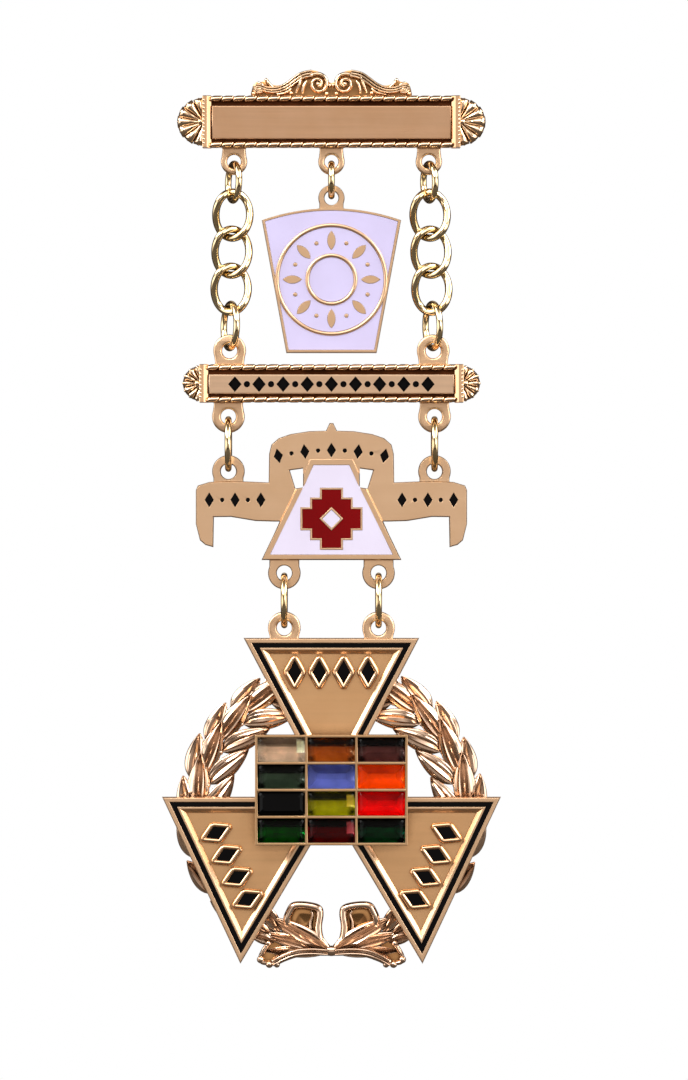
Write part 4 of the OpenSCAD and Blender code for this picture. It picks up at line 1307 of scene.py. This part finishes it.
@dataclass
class Crest:
    """The scroll crest on the top bar."""

    width: float = 25.6
    height: float = 4.1
    foot_z: float = 4.15
    face: float = -3.35
    base: float = -2.3
    volute_turns: float = 1.6
    volute_r: float = 0.42

    def spot(self, share: Point, side: int, depth: float) -> Vector:
        """A point of the crest from its shares."""
        return Vector((side * share[0] * self.width / 2, depth, self.foot_z + share[1] * self.height))

    def ground(self, name: str, near: float, far: float, rim: float) -> Object:
        """A plate in the crest's outline.

        Args:
            name: The new piece's name.
            near: Depth of its front.
            far: Depth of its back.
            rim: How far its front is sloped at the edge.

        Returns:
            The plate.
        """
        bm = bmesh.new()
        right = catmull([self.spot(p, 1, 0) for p in CREST_EDGE], 4)
        edge = [Vector((-p.x, 0, p.z)) for p in reversed(right[1:])] + right
        rings = [[(p.x, y, z) for y, z in ((near, self.foot_z - 0.5), (near, p.z - 0.12), (near + rim, p.z),
                                           (far, p.z), (far, self.foot_z - 0.5))] for p in edge]
        add_loft(bm, rings)
        return from_bmesh(name, bm)

    def scrolls(self) -> Object:
        """The bands, the volutes, the strokes and the small balls.

        Returns:
            The new piece.
        """
        bm = bmesh.new()
        for side in SIDES:
            line = catmull([self.spot(p, side, self.face) for p in CREST_BAND], 6)
            for off, wide in CREST_BARS:
                way = []
                for i, p in enumerate(line):
                    ahead = (line[min(i + 1, len(line) - 1)] - line[max(i - 1, 0)]).normalized()
                    close = 1.0 - 0.55 * (i / len(line)) ** 2
                    way.append(p + off * close * ahead.cross(TO_FRONT) + 0.12 * TO_FRONT)
                sweep(bm, way, oval(wide, 0.85, 10), lambda t: 1.0 - 0.35 * t * t)
            centre = self.spot(CREST_VOLUTE, side, self.face)
            volute = []
            for i in range(64):
                t = i / 63
                a = math.radians(50 + 360 * self.volute_turns * t)
                r = self.volute_r * self.height * (1 - 0.8 * t)
                volute.append(centre + Vector((side * r * math.cos(a), 0.05 - 0.35 * t, r * math.sin(a))))
            sweep(bm, volute, oval(0.6, 0.95, 10), lambda t: 1.0 - 0.3 * t)
            for stroke in CREST_STROKES:
                sweep(bm, catmull([self.spot(p, side, self.face - 0.05) for p in stroke], 5), oval(0.5, 0.9, 10),
                      lambda t: 0.35 + 0.65 * math.sin(math.pi * (0.15 + 0.7 * t)))
            for share, size in CREST_BALLS:
                add_ball(bm, size, self.spot(share, side, self.face - 0.15))
        return from_bmesh("top_bar_crest", bm, sharp=60)

    def build(self) -> None:
        """Builds the crest."""
        floor = self.face + 0.4
        for name, near, far, rim, finish in (("crest_ground", floor - 0.1, floor, 0.05, Finish.SHADED),
                                             ("crest_back", floor, self.base, 0.1, Finish.PLATE)):
            piece = self.ground("top_bar_" + name, near, far, rim)
            keep(piece, Body.HANGER, "gilt", finish.material, "top_bar")
        keep(self.scrolls(), Body.HANGER, "gilt", Finish.SHELL.material, "top_bar")


@dataclass
class BroochPin:
    """The hidden pin on its two feet."""

    length: float = 30.0
    wire: float = 0.9
    foot: float = 2.4
    back: float = -2.0

    def build(self) -> None:
        """Builds the pin, straight from foot to foot, with rounded ends."""
        bm = bmesh.new()
        half = self.length / 2 + self.foot / 2
        way = [(x, 0, 0) for x in (-half, -half + 0.15, -self.length / 2, 0, self.length / 2, half - 0.15, half)]
        sweep(bm, way, oval(self.wire, self.wire, 20), lambda t: 1.0 if 0.01 < t < 0.99 else 0.55)
        for side in SIDES:
            x = side * self.length / 2
            f = self.foot / 2
            outline = [(x - f, -f), (x + f, -f), (x + f, f), (x - f, f)]
            add_terraces(bm, outline, [(0.25, 0.62), (0.1, 0.55), (0, 0.35), (0, self.back + 0.25),
                                       (0, self.back + 0.11), (0.2, self.back + 0.105)])
        keep(from_bmesh("brooch_pin_wire", bm), Body.HANGER, "gilt", Finish.POLISHED.material, "brooch_pin")


@dataclass
class Triangles:
    """The three bordered triangles, the raised rims of their lozenges and the two lugs."""

    top_z: float = -82.04
    side_z: float = -107.34
    width: float = 28.0
    height: float = 26.6
    corner_x: float = 27.0
    foot_x: float = 14.5
    inner_reach: float = 1.3
    front: float = -3.4
    back: float = -1.6
    rim_w: float = 0.8
    channel_w: float = 0.75
    channel_sunk: float = 0.5
    ridge_w: float = 0.34
    bevel_w: float = 0.62
    bevel_drop: float = 0.5
    sunk: float = 0.75
    lozenge_in: float = 5.45
    lozenge: tuple[float, float] = (2.9, 5.0)
    lozenge_rim: tuple[float, float] = (0.85, 1.0)
    pitch: float = 3.9
    lug_x: float = 7.5
    lug_z: float = -80.43

    @property
    def field_at(self) -> float:
        """How far the field's edge lies inside the outline."""
        return self.rim_w + self.channel_w + self.ridge_w + self.bevel_w

    def outlines(self) -> list[Outline]:
        """The three outlines, anticlockwise, the edge with the ornament first.

        Returns:
            The outlines, in X and Z.
        """
        foot_z = self.side_z - self.height
        return [
            [(self.width / 2, self.top_z), (-self.width / 2, self.top_z), (0, self.top_z - self.height)],
            [(-self.corner_x, self.side_z), (-self.foot_x, foot_z), (self.inner_reach, self.side_z)],
            [(self.foot_x, foot_z), (self.corner_x, self.side_z), (-self.inner_reach, self.side_z)],
        ]

    def plates(self) -> Object:
        """The plates: rim, channel, ridge and the bevel down to the field.

        Returns:
            The new piece.
        """
        bm = bmesh.new()
        inner, field_at = self.rim_w + self.channel_w, self.field_at
        for count, outline in enumerate(self.outlines()):
            back = self.back - 0.004 * count
            add_terraces(bm, outline, [
                (0.1, back), (0, back - 0.1), (0, back - 0.3), (0.15, self.front + 0.08),
                (0.18, self.front + 0.03), (0.25, self.front),
                (self.rim_w - 0.12, self.front), (self.rim_w - 0.035, self.front + 0.035),
                (self.rim_w, self.front + 0.12), (self.rim_w, self.front + self.channel_sunk),
                (inner, self.front + self.channel_sunk), (inner, self.front + 0.1), (inner + 0.03, self.front + 0.02),
                (inner + 0.08, self.front), (inner + self.ridge_w - 0.06, self.front),
                (inner + self.ridge_w, self.front + 0.03), (field_at - 0.06, self.front + self.bevel_drop),
                (field_at - 0.02, self.front + self.sunk - 0.04), (field_at, self.front + self.sunk)])
        return from_bmesh("triangles_body", bm, sharp=35, even=True)

    def fields(self) -> Object:
        """The brushed fields, thin sheets on the floors of the three plates.

        Returns:
            The new piece.
        """
        bm = bmesh.new()
        off, floor = self.field_at, self.front + self.sunk
        for outline in self.outlines():
            add_terraces(bm, outline, [(off, floor + 0.03), (off, floor - 0.01), (off + 0.1, floor - 0.012)])
        return from_bmesh("triangles_fields", bm, sharp=60, even=True)

    def rims(self) -> Object:
        """The rounded rims round the black lozenges.

        Returns:
            The new piece.
        """
        bm = bmesh.new()
        for outline in self.outlines():
            start, end = Vector(outline[0]), Vector(outline[1])
            way = (end - start).normalized()
            inwards = Vector((-way.y, way.x))
            for i in (-1.5, -0.5, 0.5, 1.5):
                centre = (start + end) / 2 + inwards * self.lozenge_in + way * i * self.pitch
                w, h = (0.5 * size for size in self.lozenge)
                corners = [(w, 0), (0, h), (-w, 0), (0, -h)]
                line = []
                for k, corner in enumerate(corners):
                    here, ahead = Vector(corner), Vector(corners[(k + 1) % 4])
                    for t in (0.07, 0.18, 0.5, 0.82, 0.93):
                        p = here.lerp(ahead, t)
                        at = centre + p.x * way + p.y * inwards
                        line.append((at.x, self.front + self.sunk - 0.22, at.y))
                sweep(bm, line, oval(*self.lozenge_rim), closed=True)
        return from_bmesh("triangles_rims", bm, sharp=70)

    def build(self) -> None:
        """Builds the triangles."""
        eyes = [loop for side in SIDES for loop in Lug(side * self.lug_x, self.lug_z).loops(self.top_z - 0.4)]
        lugs = flat_plate("triangles_lugs", eyes, LUG_FRONT, LUG_BACK, LUG_EDGE)
        for piece, finish in ((self.plates(), Finish.PLATE), (self.fields(), Finish.FIELD),
                              (self.rims(), Finish.POLISHED), (lugs, Finish.PLATE)):
            keep(piece, Body.JEWEL, "gilt", finish.material, "triangle_plate")


@dataclass
class Plates:
    """The keystone, the ribbon plate and the enamel in them."""

    circle_z: float = -25.03
    circle_radii: tuple[float, float] = (8.645, 3.845)
    line_w: float = 0.59
    line_h: float = 0.36
    front: float = -3.4

    def lines(self) -> Object:
        """The rounded crests of the keystone's two circle lines.

        Returns:
            The new piece.
        """
        bm = bmesh.new()
        for radius in self.circle_radii:
            way = [(x, self.front + 0.02, self.circle_z + z) for x, z in oval(2 * radius, 2 * radius, 96)]
            sweep(bm, way, oval(self.line_w, self.line_h), closed=True)
        return from_bmesh("keystone_lines", bm, sharp=70)

    def build(self) -> None:
        """Rounds the edges of the plates and dresses the enamel."""
        for piece, body, finish, node in (
                (softened("keystone_plate", "keystone_body", width=0.13, lean=0.13), Body.KEYSTONE, Finish.PLATE,
                 "keystone_plate"),
                (self.lines(), Body.KEYSTONE, Finish.PLATE, "keystone_plate"),
                (softened("banner_plate", "ribbon_body", width=0.12, lean=0.15), Body.BANNER, Finish.PLATE,
                 "banner_plate"),
                (softened("stone_setting", "setting_body", width=0.08), Body.JEWEL, Finish.FRAME, "stone_setting")):
            keep(piece, body, "gilt", finish.material, node)
        for name, finish in (("keystone", Finish.WHITE), ("banner_white", Finish.PALE), ("banner_red", Finish.RED),
                             ("banner_black", Finish.BLACK), ("top_triangle", Finish.BLACK),
                             ("left_triangle", Finish.BLACK), ("right_triangle", Finish.BLACK)):
            dress(name + "_enamel", finish.material)


# In a glass row the fifth number is the share of painted shade, and a last tone is the painted highlight at the right
# end.
GLASSES = [
    Glass("champagne", (1.0, 0.93, 0.84), (0.98, 0.80, 0.66), 0.8, 0.5, (1.0, 1.0, 0.88)),
    Glass("amber", (0.88, 0.50, 0.22), (0.84, 0.50, 0.20), 0.7, 0.88),
    Glass("garnet_brown", (0.54, 0.34, 0.32), (0.54, 0.36, 0.34), 0.7, 0.97),
    Glass("smoky_green", (0.38, 0.46, 0.38), (0.38, 0.44, 0.36), 0.7, 0.98),
    Glass("sapphire_blue", (0.50, 0.54, 0.84), (0.54, 0.58, 0.85), 0.8, 0.15, mirror=0.4),
    Glass("fire_orange", (1.0, 0.34, 0.0), (1.0, 0.46, 0.04), 0.8, 0.0, mirror=0.0),
    Enamel("jet", (0.0006, 0.0006, 0.0007), (0.001, 0.001, 0.0012), 0.0, 0.05, 0.08),
    Glass("olive", (0.80, 0.78, 0.10), (0.86, 0.82, 0.14), 0.7, 0.9, (1.0, 0.90, 0.46)),
    Glass("ruby_red", (1.0, 0.02, 0.01), (1.0, 0.16, 0.10), 0.8, 0.1, mirror=0.2),
    Glass("emerald", (0.01, 0.42, 0.05), (0.04, 0.42, 0.08), 0.7, 0.98),
    Glass("dark_garnet", (0.46, 0.01, 0.03), (0.46, 0.05, 0.07), 0.7, 0.97, (1.0, 0.74, 0.72)),
    Glass("teal_green", (0.01, 0.34, 0.18), (0.03, 0.34, 0.20), 0.7, 0.98),
]


@dataclass
class Stones:
    """The twelve step-cut stones and the foil behind each.

    The foil's steps are given by their distance from its edge, and by how far they stand before its back
    as a share of the stone's depth.
    """

    gap: float = 0.035
    foil_t: float = 0.03
    steps: tuple[tuple[float, float], ...] = ((0.0, 0.62), (0.72, 0.26), (1.42, 0.0))

    def foil(self, node: str, name: str) -> Object:
        """A thin cup of foil just behind a stone's pavilion.

        Args:
            node: The stone's CAD node.
            name: The new piece's name.

        Returns:
            The foil.
        """
        low, high = (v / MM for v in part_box(node))
        cx, cz = (low.x + high.x) / 2, (low.z + high.z) / 2
        w, h = (high.x - low.x) / 2, (high.z - low.z) / 2
        back = high.y + self.gap
        bm = bmesh.new()
        depth = high.y - low.y
        rings = []
        for thick in (0.0, self.foil_t):
            ring = []
            for off, share in self.steps:
                x, y, z = w - off, back - share * depth, h - off
                ring.append([(cx + across * x, y + thick, cz + up * z)
                             for across, up in ((-1, -1), (1, -1), (1, 1), (-1, 1))])
            rings.append(ring)
        front, rear = rings
        add_loft(bm, front + rear[::-1], closed=True)
        bm.faces.new([bm.verts.new(p) for p in front[-1]])
        bm.faces.new([bm.verts.new(p) for p in rear[-1]][::-1])
        bmesh.ops.remove_doubles(bm, verts=bm.verts, dist=1e-5)
        return from_bmesh(name, bm, sharp=20)

    def build(self) -> None:
        """Dresses the stones and lays the foil."""
        for count, glass in enumerate(GLASSES, 1):
            node = f"stone_{count}"
            if isinstance(glass, Enamel):
                dress(node, glass.material())
                continue
            low, high = (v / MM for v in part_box(node))
            place = (middle(node), (high.x - low.x) / 2)
            dress(node, glass.material(*place))
            keep(self.foil(node, f"foil_{count}"), Body.JEWEL, "stone_" + glass.name, glass.backing(*place))


@dataclass
class Wreath:
    """The leaves, berries and stem of the laurel wreath, from its first to its last angle in degrees."""

    radius: float = 21.5
    z: float = -110.04
    back: float = 0.45
    front: float = -1.55
    leaf_l: float = 8.9
    leaf_w: float = 3.5
    groups: int = 9
    spread: float = 1.3
    first: float = 24.0
    last: float = 168.0
    berry_r: float = 0.42
    stem: tuple[float, float] = (2.2, 0.86)

    def leaf(self) -> Object:
        """One fluted leaf of unit length and width, from its foot along +Z.

        Returns:
            The leaf.
        """
        rows, columns = 14, 16
        bm = bmesh.new()
        top, floor = [], []
        for i in range(rows + 1):
            t = i / rows
            wide = 0.5 * (math.sin(math.pi * t ** 0.72) ** 0.75 if 0 < t < 1 else 0.0)
            wide = max(wide, 0.14 * (1 - t), 0.02)
            swell = 0.35 + 0.65 * math.sin(math.pi * min(1, 0.12 + t * 0.85))
            lift = 0.16 * t * t
            line, under = [], []
            for j in range(columns + 1):
                v = 2 * j / columns - 1
                dome = math.sqrt(max(0.0, 1 - v * v))
                flute = 0.5 + 0.5 * math.cos(4 * math.pi * v)
                rib = math.exp(-(v / 0.16) ** 2)
                h = dome * (0.45 + 0.34 * flute + 0.3 * rib) * swell
                line.append(bm.verts.new((wide * v, -h - lift, t)))
                under.append(bm.verts.new((wide * v, 0.12 - lift * 0.5, t)))
            top.append(line)
            floor.append(under)
        for i in range(rows):
            for j in range(columns):
                bm.faces.new((top[i][j], top[i][j + 1], top[i + 1][j + 1], top[i + 1][j]))
                bm.faces.new((floor[i][j], floor[i + 1][j], floor[i + 1][j + 1], floor[i][j + 1]))
        rim = [(top[i][0], floor[i][0]) for i in range(rows + 1)]
        rim += [(top[rows][j], floor[rows][j]) for j in range(1, columns + 1)]
        rim += [(top[i][columns], floor[i][columns]) for i in range(rows - 1, -1, -1)]
        rim += [(top[0][j], floor[0][j]) for j in range(columns - 1, 0, -1)]
        for k, (upper, lower) in enumerate(rim):
            next_upper, next_lower = rim[(k + 1) % len(rim)]
            bm.faces.new((upper, next_upper, next_lower, lower))
        return from_bmesh("leaf", bm, sharp=60)

    def leaves(self) -> Object:
        """All the leaves: groups of three along both branches, with their tips up.

        Returns:
            The new piece.
        """
        seats = []
        first, last = math.radians(self.first), math.radians(self.last)
        for side in SIDES:
            for i in range(self.groups):
                a = first + (last - first) * i / self.groups
                grow = min(1.0, 0.66 + (math.degrees(a) - self.first) / 120)
                for fan in (-1, 1, 0):
                    r = self.radius + self.spread * grow * fan
                    splay = math.radians(30 if fan < 0 else 11) * fan
                    heading = side * (math.pi / 2 - a + splay - math.radians(6))
                    ahead, rise, thick = (a, 0.85, 0.8) if fan else (a + math.radians(3.5), 1.2, 0.95)
                    at = (side * r * math.sin(ahead), self.back - rise, self.z - r * math.cos(ahead))
                    lean = Matrix.Rotation(side * fan * 0.3, 3, "Z")
                    turn = (Matrix.Rotation(heading, 3, "Y") @ Euler((0.07, 0, 0)).to_matrix() @ lean).to_euler()
                    long = self.leaf_l * grow * {-1: 0.92, 0: 1.0, 1: 0.8}[fan]
                    seats.append(Seat(at, tuple(turn), (self.leaf_w * grow, thick, long)))
        return repeated("wreath_leaves", self.leaf(), seats, Finish.CAST.material, uneven=0.05, seed=7, sharp=60)

    def berries(self) -> Object:
        """Small berries between the leaf groups.

        Returns:
            The new piece.
        """
        bm = bmesh.new()
        add_ball(bm, self.berry_r)
        berry = from_bmesh("berry", bm)
        seats = []
        for side in SIDES:
            for i in range(self.groups):
                a = math.radians(self.first + (self.last - self.first) / self.groups * (i + 0.92))
                for off in (-1.3, 1.5):
                    r = self.radius + off
                    seats.append(Seat((side * r * math.sin(a), self.front + 0.6, self.z - r * math.cos(a))))
        return repeated("wreath_berries", berry, seats, Finish.CAST.material, uneven=0.15, seed=11, sharp=80)

    def stems(self) -> Object:
        """The stem under the leaves, an open ring.

        Returns:
            The new piece.
        """
        bm = bmesh.new()
        for side in SIDES:
            way = [(side * self.radius * math.sin(a), self.back - 0.45, self.z - self.radius * math.cos(a))
                   for a in (math.radians(4 + 172 * i / 60) for i in range(61))]
            sweep(bm, way, oval(*self.stem, 14), lambda t: 0.55 + 0.45 * math.sin(math.pi * min(1, t + 0.2)))
        return from_bmesh("wreath_stem", bm, sharp=60)

    def build(self) -> None:
        """Builds the wreath."""
        for piece, material in ((self.leaves(), None), (self.berries(), None), (self.stems(), Finish.CAST.material)):
            keep(piece, Body.JEWEL, "gilt", material, "wreath")


# Right half of the bow, in millimetres from its knot: the middle line of its loop, the ridge in it, the
# lines of its lower band and of its end, the end's inner edge, the balls with their radii, and the
# headings from upright, lengths and widths of its fluted folds
BOW_LOOP = [(0.7, 0.2, 0), (1.7, 1.5, 0), (2.1, 3.6, 0), (1.85, 5.7, 0), (2.2, 6.7, 0), (4.1, 7.15, 0),
            (5.9, 7.1, 0), (6.6, 6.3, 0), (7.1, 4.7, 0.1), (6.3, 2.6, 0.6), (3.6, 0.8, 0.6)]
BOW_RIDGE = [(2.2, 0.9), (3.1, 2.4), (3.4, 4.2), (3.0, 5.6), (3.3, 6.2)]
BOW_BAND = [(0.6, -0.3), (3.2, -0.15), (5.6, -0.35), (7.6, -1.05), (9.3, -2.0)]
BOW_END = [(10.0, 1.2), (10.7, 0.1), (11.4, -1.2), (11.0, -1.9), (9.9, -2.1), (8.8, -2.2)]
BOW_END_IN = [(6.4, -0.7), (5.6, 0.4), (8.6, 1.7)]
BOW_BALLS = [((11.3, -1.5), 0.6), ((9.9, -2.25), 0.6), ((8.7, -2.3), 0.5), ((10.1, 1.1), 0.5)]
BOW_FOLDS = [(61, 10.9, 3.3), (76, 11.2, 2.9), (91, 10.4, 2.3)]


@dataclass
class Bow:
    """The bow at the foot of the wreath."""

    fold: Callable[[], Object]
    knot_z: float = -131.84

    def spot(self, place: Point, side: int, depth: float) -> Vector:
        """A point of the bow from its place beside the knot."""
        return Vector((side * place[0], depth + sum(place[2:]), self.knot_z + place[1]))

    def loop(self, side: int) -> list[Vector]:
        """The middle line of the edge of one side's loop."""
        return catmull([self.spot(p, side, -0.75) for p in BOW_LOOP], 6, closed=True)

    def hollows(self) -> Object:
        """The shaded hollows in the loops and in the ends.

        Returns:
            The new piece.
        """
        bm = bmesh.new()
        for side in SIDES:
            centre = self.spot((4.1, 4.0), side, 0)
            rings = []
            for share, depth in ((1.0, 0.4), (1.0, 0.1), (0.8, -0.25), (0.5, -0.1), (0.1, 0.1)):
                rings.append([Vector((centre.x + share * (p.x - centre.x), min(0.38, p.y + 0.75) * (share > 0.9)
                                      + depth, centre.z + share * (p.z - centre.z))) for p in self.loop(side)])
            add_loft(bm, rings)
            end = catmull([self.spot(p, side, 0) for p in BOW_END], 5)
            sheet = end + [self.spot(p, side, 0) for p in BOW_END_IN]
            add_loft(bm, [[(p.x, y, p.z) for p in sheet] for y in (0.3, -0.5)])
        return from_bmesh("wreath_bow_hollows", bm, sharp=60)

    def loops(self) -> Object:
        """The loops with their thick edge, the end bands and the knot.

        Returns:
            The new piece.
        """
        bm = bmesh.new()
        for side in SIDES:
            sweep(bm, self.loop(side), oval(1.2, 1.3, 16), closed=True)
            ridge = [self.spot(p, side, -0.55) for p in BOW_RIDGE]
            sweep(bm, catmull(ridge, 6), oval(0.6, 0.8), lambda t: 1.0 - 0.4 * t)
            band = catmull([self.spot(p, side, -1.0) for p in BOW_BAND], 8)
            for off, wide in ((0.0, 1.5), (0.36, 0.5), (-0.36, 0.5)):
                sweep(bm, [p + Vector((0, -0.5 if off else 0, off)) for p in band], oval(wide, 1.2, 14),
                      lambda t: 0.65 + 0.45 * math.sin(math.pi * (0.1 + 0.75 * t)))
            end = catmull([self.spot(p, side, -0.9) for p in BOW_END], 5)
            sweep(bm, end, oval(0.8, 1.1), lambda t: 0.7 + 0.3 * abs(math.sin(math.pi * 2.5 * t)))
            for place, size in BOW_BALLS:
                add_ball(bm, size, self.spot(place, side, -1.0), 3)
        knot = [self.spot((x, -0.1), 1, -1.1) for x in (-1.5, -1.0, 0, 1.0, 1.5)]
        sweep(bm, knot, oval(1.7, 1.3, 16), lambda t: 0.55 + 0.45 * math.sin(math.pi * t))
        return from_bmesh("wreath_bow", bm, sharp=60)

    def folds(self) -> Object:
        """The fluted folds that spread from the knot behind the loops.

        Returns:
            The new piece.
        """
        seats = []
        for side in SIDES:
            for count, (heading, long, wide) in enumerate(BOW_FOLDS):
                at = self.spot((0.4, 0.0), side, -1.25 + 0.05 * count)
                turn = Matrix.Rotation(side * math.radians(heading), 3, "Y") @ Matrix.Rotation(-0.09, 3, "X")
                seats.append(Seat(tuple(at), tuple(turn.to_euler()), (wide, 0.95, long)))
        return repeated("wreath_bow_folds", self.fold(), seats, Finish.CAST.material, uneven=0.02, seed=2, sharp=60)

    def build(self) -> None:
        """Builds the bow."""
        for piece, material in ((self.loops(), Finish.CAST.material), (self.folds(), None),
                                (self.hollows(), Finish.SHADED.material)):
            keep(piece, Body.JEWEL, "gilt", material, "wreath")


# Stage, light and camera


# Brightness of the room that the jewel reflects, by place from 0 to 1: from the floor to the ceiling,
# from left to right, and from before the jewel to behind it
ROOM_UP = [(0.0, 0.02), (0.2, 0.03), (0.33, 0.06), (0.40, 0.45), (0.44, 0.62), (0.56, 0.62), (0.61, 0.4),
           (0.65, 0.12), (0.69, 0.9), (0.74, 2.6), (0.88, 2.8), (0.94, 0.5), (1.0, 0.2)]
ROOM_ACROSS = [(0.0, 2.6), (0.12, 2.6), (0.18, 1.0), (0.24, 0.3), (0.30, 0.1), (0.37, 0.5), (0.43, 1.0),
               (0.57, 1.0), (0.63, 0.5), (0.70, 0.1), (0.76, 0.3), (0.82, 1.0), (0.88, 2.6), (1.0, 2.6)]
ROOM_DEPTH = [(0.0, 1.0), (0.50, 1.0), (0.59, 0.12), (0.8, 0.07), (0.93, 0.12), (1.0, 0.75)]


@dataclass
class Studio:
    """The floor, the lights and the camera, in metres apart from the floor, which is in millimetres."""

    distance: float = 0.9
    shift_x: float = 0.00200
    height: float = -0.06645
    frame_height: float = 0.1719
    lug_plane: float = -0.0025
    floor_r: float = 500.0
    floor_z: float = -250.0
    floor_t: float = 6.0
    room_light: float = 1.25
    aim: Point = (0, 0, -0.07)

    def floor(self) -> None:
        """A round floor below the picture, pale to the camera and nearly black to everything else, which paints dark
        reflections in the metal's downward faces.
        """
        bm = bmesh.new()
        bmesh.ops.create_cone(bm, cap_ends=True, segments=96, radius1=self.floor_r, radius2=self.floor_r,
                              depth=self.floor_t, matrix=Matrix.Translation((0, 0, self.floor_z - self.floor_t / 2)))
        obj = from_bmesh("floor", bm, sharp=30)
        material, add, shader = new_material("floor_dark_in_reflections")
        pale = add.clouded(add.noise(14.0), (0.86, 0.86, 0.85, 1), (0.83, 0.83, 0.82, 1))
        # Painted reflection: only camera rays see the pale floor, while reflections and bounces see it nearly black.
        seen = add("LightPath").outputs["Is Camera Ray"]
        add.feed(shader, {"Base Color": add.mix(seen, (0.04, 0.03, 0.02, 1), pale), "Roughness": 0.7})
        obj.data.materials.append(material)

    def world(self) -> None:
        """White for the camera, and a studio of bright and dark fields for everything else."""
        world = bpy.data.worlds.new("studio")
        bpy.context.scene.world = world
        world.use_nodes = True
        world.node_tree.nodes.clear()
        add = Wires(world.node_tree)
        x, y, z = add("SeparateXYZ", {0: add("TexCoord").outputs["Generated"]}).outputs

        def ramp(way: NodeSocket, stops: Outline) -> NodeSocket:
            """A curve of brightness along one way through the room.

            Args:
                way: The direction's part along that way, from -1 to 1.
                stops: Places from 0 to 1, each with its brightness.

            Returns:
                The brightness.
            """
            node = add("ValToRGB", {"Fac": add.spread(way, -1, 1, 0, 1)})
            band = node.color_ramp
            band.interpolation = "EASE"
            while len(band.elements) > 1:
                band.elements.remove(band.elements[0])
            for i, (place, bright) in enumerate(stops):
                stop = band.elements[0] if i == 0 else band.elements.new(place)
                stop.position = place
                stop.color = (bright, bright, bright, 1)
            return node.outputs["Color"]

        tall, wide, behind = ramp(z, ROOM_UP), ramp(x, ROOM_ACROSS), ramp(y, ROOM_DEPTH)
        both = add.mix(1.0, add.mix(1.0, tall, wide, "MULTIPLY"), behind, "MULTIPLY")
        tint = add.mix(add("RGBToBW", {0: both}).outputs[0], (1.0, 0.80, 0.68, 1), (1.0, 0.99, 0.97, 1))
        lit = add.mix(1.0, both, tint, "MULTIPLY")
        room = add("Background", {"Color": lit, "Strength": self.room_light})
        paper = add("Background", {"Color": (1, 1, 1, 1), "Strength": 1.0})
        blend = add("MixShader", {0: add("LightPath").outputs["Is Camera Ray"], 1: room.outputs[0],
                                  2: paper.outputs[0]})
        add("OutputWorld", {0: blend.outputs[0]})

    def lamp(self, name: str, place: Point, size: float, power: float) -> None:
        """Adds a soft round light.

        Args:
            name: The light's name.
            place: Where it stands, in metres.
            size: Its width, in metres.
            power: Its power, in watts.
        """
        data = bpy.data.lights.new(name, "AREA")
        data.shape, data.size, data.energy = "DISK", size, power
        obj = linked(name, data)
        obj.location = place
        obj.rotation_euler = (Vector(self.aim) - Vector(place)).to_track_quat("-Z", "Y").to_euler()

    def camera(self) -> None:
        """The camera straight before the jewel."""
        data = bpy.data.cameras.new("camera")
        data.sensor_fit, data.sensor_width = "AUTO", 36.0
        data.lens = data.sensor_width * self.distance / self.frame_height
        data.clip_start, data.clip_end = 0.01, 10
        obj = linked("camera", data)
        obj.matrix_world = (Matrix.Translation((self.shift_x, self.lug_plane - self.distance, self.height))
                            @ Matrix.Rotation(math.pi / 2, 4, "X"))
        bpy.context.scene.camera = obj

    def build(self) -> None:
        """Builds the studio."""
        self.floor()
        self.world()
        self.lamp("key", (-0.35, -0.7, 0.45), size=0.3, power=3.0)
        self.lamp("fill", (0.5, -0.7, 0.1), size=0.4, power=1.5)
        self.camera()
        bpy.context.scene.view_settings.view_transform = "Standard"


def main() -> None:
    """Builds the studio and the jewel, piece by piece."""
    logging.basicConfig(level=logging.INFO, format="%(message)s", stream=sys.stdout)
    Studio().build()
    Chains().build()
    Bar("top_bar", length=41.0, height=8.3, z=0.0, shell_reach=4.0,
        lugs=[Lug(x, -6.25, 4.2, 2.2) for x in (-15.5, 0.0, 15.5)]).build()
    Bar("lower_bar", length=42.0, height=6.1, z=-41.57, shell_reach=2.6,
        lugs=[Lug(x, z) for z, reach in ((-36.34, 16.2), (-46.81, 16.4)) for x in (-reach, reach)], figures=9).build()
    wreath = Wreath()
    for part in (Crest(), BroochPin(), Plates(), Triangles(), Stones(), wreath, Bow(wreath.leaf)):
        part.build()


if __name__ == "__main__":
    main()
